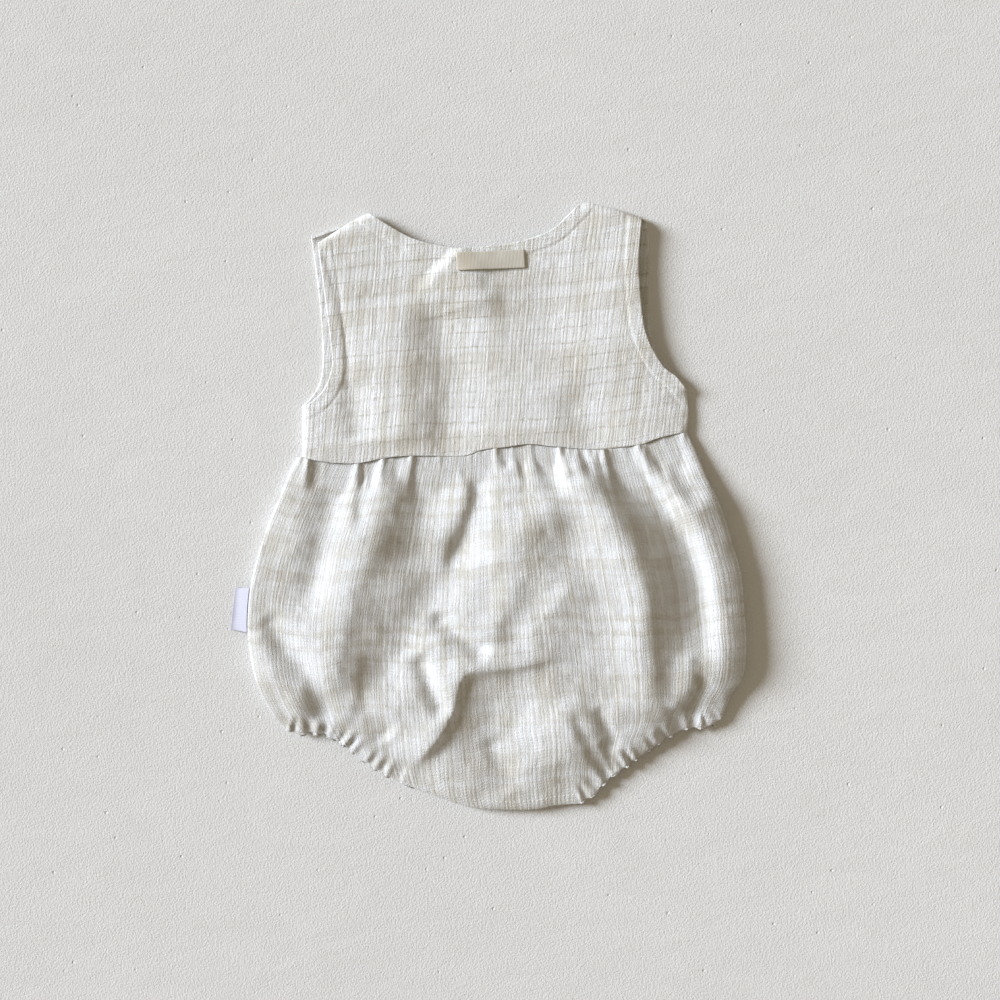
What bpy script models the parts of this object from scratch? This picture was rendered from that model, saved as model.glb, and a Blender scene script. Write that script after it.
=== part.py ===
"""Baby bubble romper bodysuit, laid flat on its front, so that its back side shows.

Six sewn pieces: back and front of the sleeveless bodice, back and front of the gathered bloomers, a ribbon
label under the back neckline and a folded care label in the left side seam.

+Z points up from the floor, +Y from the legs to the neck, and +X to the right of someone who looks down on
the back. The origin lies on the floor under the middle of the garment. Sizes are in millimetres, and each
mesh is scaled to metres when it is made.
"""

import math
from collections import namedtuple

import bpy
import numpy as np

MM = 0.001

# Cloth and seams
WALL = 1.4  # thickness of the crinkled double cloth
SEAM_GAP = 0.3  # clearance between two pieces that are sewn together
LEAST_WALL = 0.9  # least thickness left under a sharp fold
KEEP_ROUNDS = 12  # rounds in which an inner side gives way to a sharp fold
KEEP_SHARE = 0.3  # share of the lack that it gives in each round
LEAST_TOP = 5.0  # lowest that the back's outer side sinks in a deep fold, clear of the front
SINK_EASE = 0.7  # how softly a deep fold levels out there
EDGE_LEAN = 0.18  # slope by which the edges at the waist seam lean back under their own cloth
RIBBON = 1.0  # thickness of the neck label
CARE_WALL = 1.0  # thickness of the folded care label

# Middle of the garment's box, in the coordinates of the tables below
MIDDLE_X = 0.57
MIDDLE_Y = -0.05

# Heights above the floor
BODICE_TOP = 6.6  # upper layer of the bodice
BODICE_SEAM = 3.4  # side seams and shoulder seams, halfway between the layers
BODICE_ROUND = 6.0  # width over which the bodice rounds down to its side seams
WAIST_TOP = 5.4  # gathered cloth where it leaves the waist seam
SIDE_SEAM = 8.0  # side seams of the bloomers
LEG_SEAM = 4.5  # leg elastics and crotch edge
PUFF = 10.5  # rise of the puffed back above the waist seam
SIDE_ROUND = 24.0  # width over which the puff rounds down to a side seam
CORNER_ROUND = 4.0  # the same at the waist's ends, where the layers lie close together
LEG_ROUND = 11.0
CROTCH_ROUND = 9.0
WAIST_RISE = 52.0  # length over which the puff rises from the waist
WAIST_START = 1.0  # how far inside the bodice that rise begins
SEAM_RISE = 45.0  # length over which the side seams rise from the waist
LEG_RISE = 42.0  # length over which puff and seams rise from a leg
CROTCH_RISE = 55.0
LEG_PUFF = 0.3  # share of the puff that is left at a leg
CROTCH_PUFF = 0.3
LEG_SEAM_SHARE = 0.15  # share of a side seam's height that is left at a leg
TRAY_ROUND = 12.0  # width over which the front rises from the floor to the seams
WAIST_FOLDS = 0.4  # share of a fold's height that is left at the waist seam
WAIST_FOLD_REACH = 12.0  # length over which a fold reaches its full height
BODICE_WAIST_FOLDS = 0.6
BODICE_FOLD_REACH = 20.0

# Gathers on the leg elastics
ELASTIC_PITCH = 9.0  # distance between two gathers
ELASTIC_DEPTH = 1.3
ELASTIC_REACH = 15.0  # how far a gather runs into the leg
ELASTIC_DRIFT = 0.9  # how unevenly the gathers lie, in radians, and how fast and from where that changes
DRIFT_RATE = 0.11
DRIFT_START = 1.0
SCALLOP = 0.7  # how far a gather pushes the leg's edge out
SCALLOP_ENDS = 0.04  # share of the lower edge over which the scallops start at its ends

# Grid sizes: columns across, rows from top to bottom. All are even, since an inner grid takes every
# second point.
BACK_BLOOMER_GRID = (104, 36)
FRONT_BLOOMER_GRID = (36, 18)
BACK_BODICE_GRID = (52, 24)
FRONT_BODICE_GRID = (36, 14)
END_SHARE = 0.06  # share of a panel's width over which its columns close up towards a side
END_STEPS = 3  # columns in that share of a front panel
ROW_SHARE = 0.05  # share of a panel's length over which its rows close up towards an end
BLOOMER_END_ROWS = 4  # rows in that share
BODICE_END_ROWS = 3
ROW_SPREAD = 1.15  # power that sets the back bloomers' rows closer to the waist

# Shares of an edge's length at which its corners lie
LEG_CUTS = (0.3, 0.62)
NECK_CUTS = (0.2, 0.8)
ARMHOLE_CUT = 0.76

# Outlines, hand-measured, in order along each edge
WAIST_LINE = (
    (-122.5, 32.5), (-107.5, 29), (-91, 27.5), (-80.5, 28), (-65.5, 31), (-48, 32.5), (-15, 32.5), (-2, 36.5),
    (12, 38), (27.5, 40), (42, 38.5), (68.5, 36.5), (81.5, 37.5), (100, 40), (111, 44), (121.5, 46.5),
    (129, 48),
)
LEFT_SIDE = (
    (-122.5, 32.5), (-128, 22), (-135, 4), (-142.5, -15), (-148.5, -34.5), (-152.5, -53.5), (-154, -73),
    (-153.5, -86), (-151, -103), (-146.5, -118), (-139, -132), (-129.5, -144.5),
)
RIGHT_SIDE = (
    (129, 48), (134.5, 36), (141.5, 18.5), (150, 0.5), (158, -25), (163, -42.5), (165.5, -68.5),
    (166.5, -91), (164.5, -109), (157.5, -121), (153.5, -130), (151, -137),
)
LEFT_LEG = (
    (-129.5, -144.5), (-121, -146.5), (-110, -146), (-98.5, -149.5), (-87.5, -157.5), (-70.5, -170),
    (-55.5, -177.5),
)
CROTCH = (
    (-55.5, -177.5), (-40.5, -183.5), (-12, -193.5), (13, -195.5), (32, -195), (44.5, -192.5), (60, -191),
)
RIGHT_LEG = (
    (60, -191), (68.5, -186.5), (75, -179), (86.5, -170), (101.5, -159.5), (117, -148.5), (129, -143),
    (140.5, -142.5), (151, -137),
)
NECKLINE = (
    (-77, 189), (-60.5, 178.5), (-45.5, 171), (-23, 166), (-9.5, 166), (18.5, 169.5), (41, 177), (54, 188.5),
    (60, 194.5),
)
FRONT_NECKLINE = ((-77, 189), (-66, 160), (-40, 137), (-8, 130), (24, 138), (50, 162), (60, 194.5))
LEFT_SHOULDER = ((-108.5, 170.5), (-88, 183.5), (-77, 189))
RIGHT_SHOULDER = ((60, 194.5), (66, 195.5), (80.5, 192.5), (99, 186))
FRONT_LEFT_SHOULDER = ((-113, 174), (-88, 183.5), (-77, 189))
FRONT_RIGHT_SHOULDER = ((60, 194.5), (66, 195.5), (80.5, 192.5), (102, 185.5))
LEFT_ARMHOLE = (
    (-119.5, 63.5), (-113, 66.5), (-106, 73), (-101, 82.5), (-99, 94), (-103, 129.5), (-108.5, 170.5),
)
RIGHT_ARMHOLE = (
    (129, 73.5), (122, 82.5), (112.5, 90.5), (101.5, 111.5), (97.5, 142.5), (97, 159.5), (99, 186),
)
FRONT_LEFT_ARMHOLE = ((-119.5, 63.5), (-113, 70.5), (-108, 78.5), (-105.5, 94), (-107.5, 130.5), (-113, 174))
FRONT_RIGHT_ARMHOLE = (
    (129, 73.5), (121.5, 84), (113, 93), (106.5, 104), (103.5, 132.5), (104, 171), (102, 185.5),
)
BODICE_LEFT_SEAM = ((-119.5, 63.5), (-119, 54.5), (-119.5, 31.6))
BODICE_RIGHT_SEAM = ((129, 73.5), (130, 59), (129, 48))

# Folds of the puffed back. A fold runs down its line. Its height is positive on a crest and negative in a
# valley, and it fades over a share of its line at each end.
Fold = namedtuple("Fold", "name height left_width right_width fade_in fade_out line")
FOLDS = (
    Fold("far left crest", 0.8, 12.8, 10, 0.15, 0.3, ((-115, 26), (-118, 1), (-128, -31), (-142, -60))),
    Fold("far left valley", -5, 11, 10, 0, 0.3,
         ((-95.5, 28.5), (-100, 4), (-105.5, -28), (-112, -52.5), (-124, -76))),
    Fold("left crest", 0.8, 8.4, 5.1, 0.1, 0.4, ((-88, 26), (-86.5, 4), (-89.5, -22))),
    Fold("left pleat", -1.6, 3.9, 7, 0, 0.4, ((-79, 29), (-81, 4), (-82, -22))),
    Fold("left leg crest", 3.2, 16, 10, 0.1, 0.15,
         ((-61, 29), (-65.5, 4), (-76.5, -31), (-90.5, -66.5), (-97, -92), (-95.5, -127.5))),
    Fold("left leg valley", -6, 14, 17, 0, 0.35,
         ((-34, 31), (-38, 4), (-44.5, -15), (-49.5, -34.5), (-54.5, -57))),
    Fold("middle crest", 0.6, 11.6, 6.5, 0.1, 0.4, ((-14, 29), (-17.5, 4), (-26.5, -15), (-34, -32))),
    Fold("middle valley", -4, 5, 10, 0, 0.3,
         ((-4, 31), (-5, 11), (-11, -10), (-17.5, -24.5), (-24.5, -39.5), (-29, -50))),
    Fold("left knee valley", -6, 18, 16, 0.2, 0.2,
         ((-7, -3.5), (-15, -21.5), (-24, -39.5), (-38, -61.5), (-52, -80.5), (-60, -98.5), (-63.5, -118),
          (-61, -134))),
    Fold("upper cross fold", 3.5, 14, 18, 0.3, 0.3,
         ((53.5, 10.5), (31, -10), (21, -23), (13.5, -37.5), (9.5, -53.5))),
    Fold("upper cross end", 2.5, 10, 9, 0.3, 0.2, ((20, -39.5), (15, -60), (6.5, -74), (-0.5, -92))),
    Fold("lower cross fold", 2.4, 8, 16, 0.25, 0.2, ((62.5, -44), (48, -60), (36, -74), (21, -89))),
    Fold("leg hollow", -2.5, 14, 14, 0.3, 0.3, ((66, -2), (54.5, -24.5), (48, -47))),
    Fold("right leg crest", 8, 18, 12, 0.1, 0.3,
         ((45.5, 39), (71.5, 4), (80.5, -10), (88, -23), (93, -35.5), (99, -50.5), (101, -86), (102, -118),
          (101, -143.5))),
    Fold("right leg channel", -10.5, 15, 8.5, 0.2, 0.45,
         ((71.5, 37.5), (92, 19.5), (107.5, 4), (118, -10), (126.5, -26), (132.5, -47), (136, -73),
          (137.5, -118))),
    Fold("right side crest", 1.5, 8, 14, 0.2, 0.15,
         ((106, 23.5), (126.5, 1), (139.5, -21.5), (148.5, -47), (154, -79.5), (152.5, -118))),
    Fold("right leg end", 3.4, 20, 13, 0.3, 0.3, ((116, -109), (113, -124.5), (108, -139.5), (98, -157.5))),
    Fold("left kink crest", 2.2, 7.7, 6.4, 0.1, 0.2,
         ((-149.5, -78), (-138, -104), (-122, -128), (-116.5, -143.5))),
    Fold("left kink valley", -3, 6.4, 7.7, 0.1, 0.1,
         ((-142.5, -68), (-128, -91), (-108.5, -118), (-104, -141.5))),
    Fold("pocket valley", -3.6, 7, 7, 0.2, 0.2, ((-43, -92), (-38, -111.5), (-30, -127.5), (-25, -136))),
    Fold("pocket ridge", 4.2, 12, 5.5, 0.4, 0.15,
         ((66, -89), (44.5, -95), (26.5, -100), (11.5, -103), (-1.5, -104), (-11, -104.5), (-16.5, -109),
          (-19.5, -119), (-22, -129.5), (-26.5, -139.5), (-35.5, -152.5), (-53.5, -170.5))),
    Fold("pocket crease", -3.5, 7, 6.5, 0.2, 0.2,
         ((-36, -67.5), (-23, -79), (-9, -89), (3, -96))),
    Fold("left knee drop", -2.2, 5, 12, 0.3, 0.3, ((-74, -92), (-78, -112), (-78, -128))),
    Fold("crotch valley", -2.4, 7.7, 9, 0.2, 0.2, ((0.5, -147), (8.5, -166), (16, -185.5))),
    Fold("crotch crest", 3.2, 26, 12, 0.3, 0.35, ((66, -112), (54, -136), (62, -162), (64, -182))),
    Fold("right gather upper", -1.8, 4.5, 5, 0.2, 0, ((54, -128), (60, -142), (67, -157.5), (76.5, -170.5))),
    Fold("right gather lower", -1.8, 4, 4, 0.3, 0, ((73, -148.5), (77.5, -157.5), (81.5, -168))),
    Fold("right knee crest", 2.2, 7, 6.5, 0.2, 0.1, ((130.5, -91), (127, -111.5), (121.5, -132))),
    Fold("right knee valley", -1.5, 5, 4.5, 0.2, 0.1, ((140.5, -105), (136, -123.5), (130, -138))),
    Fold("waist fold right", -5, 7, 20, 0, 0.35, ((31.5, 36.5), (40.5, 21), (48, 4))),
    Fold("side fold right", -5, 7, 10, 0, 0.35, ((112.5, 39), (124.5, 21), (138, -3.5))),
    Fold("far left tuck", -2.5, 4, 7, 0, 0.5, ((-96, 29), (-95, 15), (-99, 0))),
    Fold("left leg tuck", -2.5, 5, 6, 0, 0.6, ((-41, 31), (-43, 15), (-49, -5))),
    Fold("middle tuck", -2, 3.5, 4.5, 0, 0.6, ((-9, 34), (-8, 15), (-9, 0))),
    Fold("right gather outer", -2.2, 4.5, 4.5, 0.2, 0.2, ((71, -126), (76, -141), (84, -158))),
    Fold("left leg dent", -3, 12, 7, 0.3, 0.2, ((-86.5, -124.5), (-72.5, -136), (-60, -148.5))),
)

# Soft hollows and swells of the puffed back
Swell = namedtuple("Swell", "name height x y x_radius y_radius")
SWELLS = (
    Swell("sunken crotch", -7, 6, -142, 30, 28),
    Swell("middle swell", 2, 47, -60, 58, 58),
    Swell("low left side", -7, -142, -45, 32, 65),
    Swell("hollow under the lobe", -3, 66, -119, 30, 16),
    Swell("low right leg end", -1.2, 134, -142, 22, 22),
    Swell("pocket floor", -2, 26, -114, 22, 14),
    Swell("full right side", 1.5, 152, -112, 14, 22),
)

# Gathers at the waist seam: where each starts, how far it leans to the right, its length and its height
Gather = namedtuple("Gather", "x lean length height")
GATHERS = (
    Gather(-115, -2.6, 17, 1.3), Gather(-108.5, -2.6, 15, -1.4), Gather(-103.5, -1.9, 17, 1.0),
    Gather(-95.5, 0, 17, -1.3), Gather(-84, 0, 13, 1.0), Gather(-74, -0.6, 17, -1.8),
    Gather(-67.5, -1.3, 17, 1.1), Gather(-57, -1.9, 15, -1.1), Gather(-48, -2.6, 19, 1.3),
    Gather(-30, -1.9, 17, 1.3), Gather(-24.5, 0, 13, -1.1), Gather(-14.5, 1.3, 15, -1.3),
    Gather(-8.5, 1.3, 19, 1.0), Gather(5, 1.3, 14, 1.0), Gather(12, 1.3, 12, -1.3),
    Gather(20.5, 3.9, 22, -1.9), Gather(27.5, 5.1, 19, 1.4), Gather(39, 3.9, 17, -1.0),
    Gather(47, 5.1, 23, 1.4), Gather(61.5, 5.1, 19, -1.3), Gather(75, 5.1, 22, 1.3),
    Gather(83.5, 5.1, 19, -1.0), Gather(98.5, 6.4, 22, 1.3), Gather(106, 7.7, 23, -1.4),
    Gather(113, 6.4, 17, 1.1), Gather(119, 6.4, 17, -1.4),
)
GATHER_WIDTH = 3.0
GATHER_FADE = 0.6  # share of its length over which a gather fades
GATHER_ABOVE = 2.0  # how far above the waist seam it starts
GATHER_START = -0.2  # shares of its lean and of its length at its start and middle
GATHER_MIDDLE = 0.4

# Soft folds of the bodice's back
BODICE_FOLDS = (
    Fold("left crest", 2.6, 25, 14, 0.25, 0.1, ((-58, 137), (-56.5, 100), (-54, 60), (-51.5, 35))),
    Fold("left trough", -3.3, 12, 22, 0.2, 0,
         ((-33, 139), (-29, 110), (-24.5, 81.5), (-24, 59), (-25, 36.5))),
    Fold("label crest", 3.8, 25, 14, 0.15, 0.3, ((-27.5, 163.5), (-11, 147), (-3, 132.5), (-0.5, 118.5))),
    Fold("right armhole lift", 2.2, 34, 9, 0, 0.3,
         ((98.5, 186), (95, 160.5), (96.5, 130), (102, 108.5), (117.5, 86.5))),
    Fold("waist dip", -3, 14, 18, 0.4, 0, ((44.5, 78.5), (58, 62), (65, 46.5), (70, 32.5))),
    Fold("middle dip", -1.8, 26, 16, 0.3, 0.5, ((34, 150), (40, 125), (48, 95), (50, 66))),
    Fold("underarm dip", -2, 7, 14, 0.2, 0.1, ((-88, 84), (-85.5, 65), (-83.5, 41.5))),
    Fold("left hem dip", -0.7, 2.5, 4, 0.1, 0.1,
         ((-106, 168), (-99, 145), (-93, 119), (-89.5, 92), (-90, 72.5))),
    Fold("right seam fall", -2.4, 15, 6, 0.2, 0, ((130.5, 76), (131, 55.5), (131.5, 36.5))),
)

# Labels
NECK_LABEL_MIDDLE = (2.4, 158.2)
NECK_LABEL_SIZE = (43.0, 11.0)
NECK_LABEL_TURN = math.radians(3.0)
NECK_LABEL_BOW = 0.8  # how far the ribbon stands off between its sewn ends
NECK_LABEL_GAP = 0.45  # how far its ends lie off the bodice
NECK_LABEL_GRID = (13, 5)
CARE_TOP = -52.5  # where the care label enters the side seam, in Y
CARE_BOTTOM = -80.5
CARE_OUTER_TOP = (-162.6, -53.4)
CARE_OUTER_BOTTOM = (-165.6, -79.4)
CARE_TIP = 1.2  # height of the care label's free edge
CARE_DROOP = 1.6  # power by which the label droops from the seam to that edge
CARE_BOW = 0.5  # how far the middle of the free edge stands up
CARE_GRID = (7, 9)

# Colours in linear light, and roughness
CLOTH_COLOUR = (0.63, 0.61, 0.56)
CREAM_COLOUR = (0.58, 0.54, 0.46)
WHITE_COLOUR = (0.68, 0.67, 0.74)
CLOTH_ROUGHNESS = 0.9
RIBBON_ROUGHNESS = 0.6
SATIN_ROUGHNESS = 0.4


def smooth(t):
    """Smooth step from 0 to 1."""
    t = np.clip(t, 0.0, 1.0)
    return t * t * (3.0 - 2.0 * t)


def grown(start, t):
    """Smooth growth from a starting share to 1."""
    return start + (1.0 - start) * smooth(t)


def rounded(t):
    """Quarter of a circle, from 0 with an upright tangent to 1 with a level one."""
    t = np.clip(t, 0.0, 1.0)
    return np.sqrt(1.0 - (1.0 - t) ** 2)


def curve(points, shares):
    """Points at the given shares of the length of a smooth curve through the given points."""
    points = np.asarray(points, float)
    at = np.concatenate([[0.0], np.cumsum(np.linalg.norm(np.diff(points, axis=0), axis=1))])
    slope = np.empty_like(points)
    slope[1:-1] = (points[2:] - points[:-2]) / (at[2:] - at[:-2])[:, None]
    slope[0] = (points[1] - points[0]) / (at[1] - at[0])
    slope[-1] = (points[-1] - points[-2]) / (at[-1] - at[-2])
    where = np.asarray(shares, float) * at[-1]
    k = np.clip(np.searchsorted(at, where, side="right") - 1, 0, len(points) - 2)
    span = (at[k + 1] - at[k])[:, None]
    u = (where - at[k])[:, None] / span
    start = (2 * u**3 - 3 * u**2 + 1) * points[k] + (u**3 - 2 * u**2 + u) * span * slope[k]
    end = (3 * u**2 - 2 * u**3) * points[k + 1] + (u**3 - u**2) * span * slope[k + 1]
    return start + end


def evenly(points, count=60):
    return curve(points, np.linspace(0.0, 1.0, count))


def nearest(points, x, y):
    """Distance of each x, y to a chain of points, its side (positive on the left) and its share along it."""
    best = np.full(np.shape(x), np.inf)
    side = np.zeros(np.shape(x))
    share = np.zeros(np.shape(x))
    steps = np.diff(points, axis=0)
    for i, (start, step) in enumerate(zip(points[:-1], steps)):
        dx = x - start[0]
        dy = y - start[1]
        t = np.clip((dx * step[0] + dy * step[1]) / (step @ step), 0.0, 1.0)
        distance = np.hypot(dx - t * step[0], dy - t * step[1])
        closer = distance < best
        best = np.where(closer, distance, best)
        side = np.where(closer, step[0] * dy - step[1] * dx, side)
        share = np.where(closer, (i + t) / len(steps), share)
    return best, side, share


def distance_to(x, y, *lines):
    return np.min([nearest(evenly(line), x, y)[0] for line in lines], axis=0)


def fold_height(fold, x, y):
    """A bell across the fold's line, with its own width on each side, that fades at both ends."""
    distance, side, share = nearest(evenly(fold.line, 24), x, y)
    width = np.where(side > 0, fold.right_width, fold.left_width)
    fade = np.ones_like(share)
    if fold.fade_in:
        fade = fade * smooth(share / fold.fade_in)
    if fold.fade_out:
        fade = fade * smooth((1.0 - share) / fold.fade_out)
    return fold.height * fade * np.exp(-((distance / width) ** 2))


def swell_height(swell, x, y):
    across = (x - swell.x) / swell.x_radius
    along = (y - swell.y) / swell.y_radius
    return swell.height * np.exp(-(across**2) - along**2)


def waist_y(x):
    line = evenly(WAIST_LINE, 200)
    return np.interp(x, line[:, 0], line[:, 1])


def waist_edge(left_x, across, shift):
    """The waist seam from left_x to its right end, moved along Y, with the bodice's stations in between."""
    x = BODICE_LEFT_SEAM[-1][0] + across * (WAIST_LINE[-1][0] - BODICE_LEFT_SEAM[-1][0])
    x[0] = left_x
    return np.stack([x, waist_y(x) + shift], axis=1)


def lean_back(normals, way):
    """Leans the rim at the waist seam back under its own cloth. way is +1 where the seam lies towards +Y."""
    normals[:, 1] = 0.0
    normals /= np.linalg.norm(normals, axis=1, keepdims=True)
    normals[:, 1] = way * EDGE_LEAN


def gather_height(gather, x, y):
    top = waist_y(gather.x)
    line = (
        (gather.x + GATHER_START * gather.lean, top + GATHER_ABOVE),
        (gather.x + GATHER_MIDDLE * gather.lean, top - GATHER_MIDDLE * gather.length),
        (gather.x + gather.lean, top - gather.length),
    )
    return fold_height(Fold("gather", gather.height, GATHER_WIDTH, GATHER_WIDTH, 0, GATHER_FADE, line), x, y)


def elastic_wave(line, x, y):
    """Uneven gathers along a leg elastic, from -1 to 1, that die out into the leg."""
    points = evenly(line)
    length = np.linalg.norm(np.diff(points, axis=0), axis=1).sum()
    distance, _, share = nearest(points, x, y)
    along = share * length
    phase = 2 * math.pi * along / ELASTIC_PITCH + ELASTIC_DRIFT * np.sin(DRIFT_RATE * along + DRIFT_START)
    return np.sin(phase) * (1.0 - smooth(distance / ELASTIC_REACH))


def bloomer_seam(x, y):
    """Height of the bloomers' seams: as the bodice's at the waist, full at the sides and low at the legs."""
    from_waist = distance_to(x, y, WAIST_LINE)
    from_legs = distance_to(x, y, LEFT_LEG, CROTCH, RIGHT_LEG)
    side = BODICE_SEAM + (SIDE_SEAM - BODICE_SEAM) * smooth(from_waist / SEAM_RISE)
    return LEG_SEAM + (side - LEG_SEAM) * grown(LEG_SEAM_SHARE, from_legs / LEG_RISE)


def bloomer_top(x, y):
    """Height of the puffed back's outer side."""
    from_side = distance_to(x, y, LEFT_SIDE, RIGHT_SIDE)
    from_leg = distance_to(x, y, LEFT_LEG, RIGHT_LEG)
    from_crotch = distance_to(x, y, CROTCH)
    from_waist = distance_to(x, y, WAIST_LINE)
    seam = bloomer_seam(x, y)
    puff = smooth((from_waist + WAIST_START) / WAIST_RISE)
    puff = puff * grown(LEG_PUFF, from_leg / LEG_RISE)
    puff = puff * grown(CROTCH_PUFF, from_crotch / CROTCH_RISE)
    folds = sum(fold_height(fold, x, y) for fold in FOLDS)
    folds = folds + sum(swell_height(swell, x, y) for swell in SWELLS)
    folds = folds + sum(gather_height(gather, x, y) for gather in GATHERS)
    folds = folds * grown(WAIST_FOLDS, from_waist / WAIST_FOLD_REACH)
    folds = folds + ELASTIC_DEPTH * (elastic_wave(LEFT_LEG, x, y) + elastic_wave(RIGHT_LEG, x, y))
    crown = WAIST_TOP + PUFF * puff + folds
    crown = LEAST_TOP + SINK_EASE * np.logaddexp(0.0, (crown - LEAST_TOP) / SINK_EASE)
    lift = crown - seam
    side_round = CORNER_ROUND + (SIDE_ROUND - CORNER_ROUND) * smooth(from_waist / SEAM_RISE)
    edge = np.minimum(rounded(from_side / side_round), rounded(from_leg / LEG_ROUND))
    edge = np.minimum(edge, rounded(from_crotch / CROTCH_ROUND))
    return seam + SEAM_GAP / 2 + lift * edge


def bloomer_under(x, y):
    """Height of the bloomers' front, outer side: on the floor, and rounded up to the seams."""
    from_seam = distance_to(x, y, LEFT_SIDE, RIGHT_SIDE, LEFT_LEG, CROTCH, RIGHT_LEG)
    from_waist = distance_to(x, y, WAIST_LINE)
    tray_round = CORNER_ROUND + (TRAY_ROUND - CORNER_ROUND) * smooth(from_waist / SEAM_RISE)
    return (bloomer_seam(x, y) - SEAM_GAP / 2) * (1.0 - rounded(from_seam / tray_round))


def bodice_top(x, y):
    """Height of the bodice's back, outer side."""
    from_seam = distance_to(x, y, BODICE_LEFT_SEAM, BODICE_RIGHT_SEAM, LEFT_SHOULDER, RIGHT_SHOULDER)
    folds = sum(fold_height(fold, x, y) for fold in BODICE_FOLDS)
    from_waist = distance_to(x, y, WAIST_LINE)
    lift = BODICE_TOP + folds * grown(BODICE_WAIST_FOLDS, from_waist / BODICE_FOLD_REACH) - BODICE_SEAM
    return BODICE_SEAM + SEAM_GAP / 2 + lift * rounded(from_seam / BODICE_ROUND)


def bodice_under(x, y):
    """Height of the bodice's front, outer side: on the floor, and rounded up to the seams."""
    seams = (BODICE_LEFT_SEAM, BODICE_RIGHT_SEAM, FRONT_LEFT_SHOULDER, FRONT_RIGHT_SHOULDER)
    from_seam = distance_to(x, y, *seams)
    return (BODICE_SEAM - SEAM_GAP / 2) * (1.0 - rounded(from_seam / BODICE_ROUND))


def shares(count, first, last, width, steps):
    """Shares from 0 to 1 in count steps, drawn together over a width at an end where first or last is set."""
    turn = 1.0 - np.cos(np.linspace(0.0, math.pi / 2, steps + 1))
    low = width * turn[:-1] if first else np.empty(0)
    high = 1.0 - width * turn[:-1][::-1] if last else np.empty(0)
    inner = count + 1 - len(low) - len(high)
    start = width if first else 0.0
    end = 1.0 - width if last else 1.0
    return np.concatenate([low, np.linspace(start, end, inner), high])


def joined(lines, cuts, at):
    """One edge made of several smooth curves that meet at corners. cuts are the shares where they meet."""
    stops = [0.0, *cuts, 1.0]
    found = np.zeros((len(at), 2))
    for line, start, stop in zip(lines, stops[:-1], stops[1:]):
        inside = (at >= start - 1e-9) & (at <= stop + 1e-9)
        found[inside] = curve(line, np.clip((at[inside] - start) / (stop - start), 0.0, 1.0))
    return found


def spread(top, bottom, left, right, across, down):
    """Grid of rows that fills four edges: the mean of both ways of ruling it, less the corners' own part."""
    u = across[None, :, None]
    v = down[:, None, None]
    ruled = (1 - v) * top[None] + v * bottom[None] + (1 - u) * left[:, None] + u * right[:, None]
    corners = (1 - v) * ((1 - u) * top[0] + u * top[-1]) + v * ((1 - u) * bottom[0] + u * bottom[-1])
    return ruled - corners


def grid_normals(grid):
    """Unit normals of a grid of points whose columns run along +X and whose rows run down along -Y."""
    across = np.gradient(grid, axis=1)
    down = np.gradient(grid, axis=0)
    normal = np.cross(down, across)
    return normal / np.linalg.norm(normal, axis=2, keepdims=True)


def edge_normals(line, outward_left):
    """Level normals along an edge: on the left of its way, or on the right."""
    way = np.gradient(line[:, :2], axis=0)
    sign = 1.0 if outward_left else -1.0
    level = np.stack([-way[:, 1] * sign, way[:, 0] * sign, np.zeros(len(line))], axis=1)
    return level / np.linalg.norm(level, axis=1, keepdims=True)


def keep_wall(outer, inner, sign):
    """Moves points of the inner grid away from the outer one where a fold would leave the wall too thin."""
    rows, columns = inner.shape[:2]
    for _ in range(KEEP_ROUNDS):
        halfway = np.repeat(inner[..., 2], 2, axis=0)[:-1]
        halfway[1::2] = (inner[:-1, :, 2] + inner[1:, :, 2]) / 2
        full = np.repeat(halfway, 2, axis=1)[:, :-1]
        full[:, 1::2] = (halfway[:, :-1] + halfway[:, 1:]) / 2
        lack = np.clip(LEAST_WALL - sign * (outer[..., 2] - full), 0.0, None)
        lack[:2] = 0.0
        lack[-2:] = 0.0
        lack[:, :2] = 0.0
        lack[:, -2:] = 0.0
        padded = np.pad(lack, 1)
        worst = np.zeros((rows, columns))
        for i in range(3):
            for j in range(3):
                worst = np.maximum(worst, padded[i : i + lack.shape[0], j : j + lack.shape[1]][::2, ::2])
        inner[..., 2] -= sign * KEEP_SHARE * worst
    return inner


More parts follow.
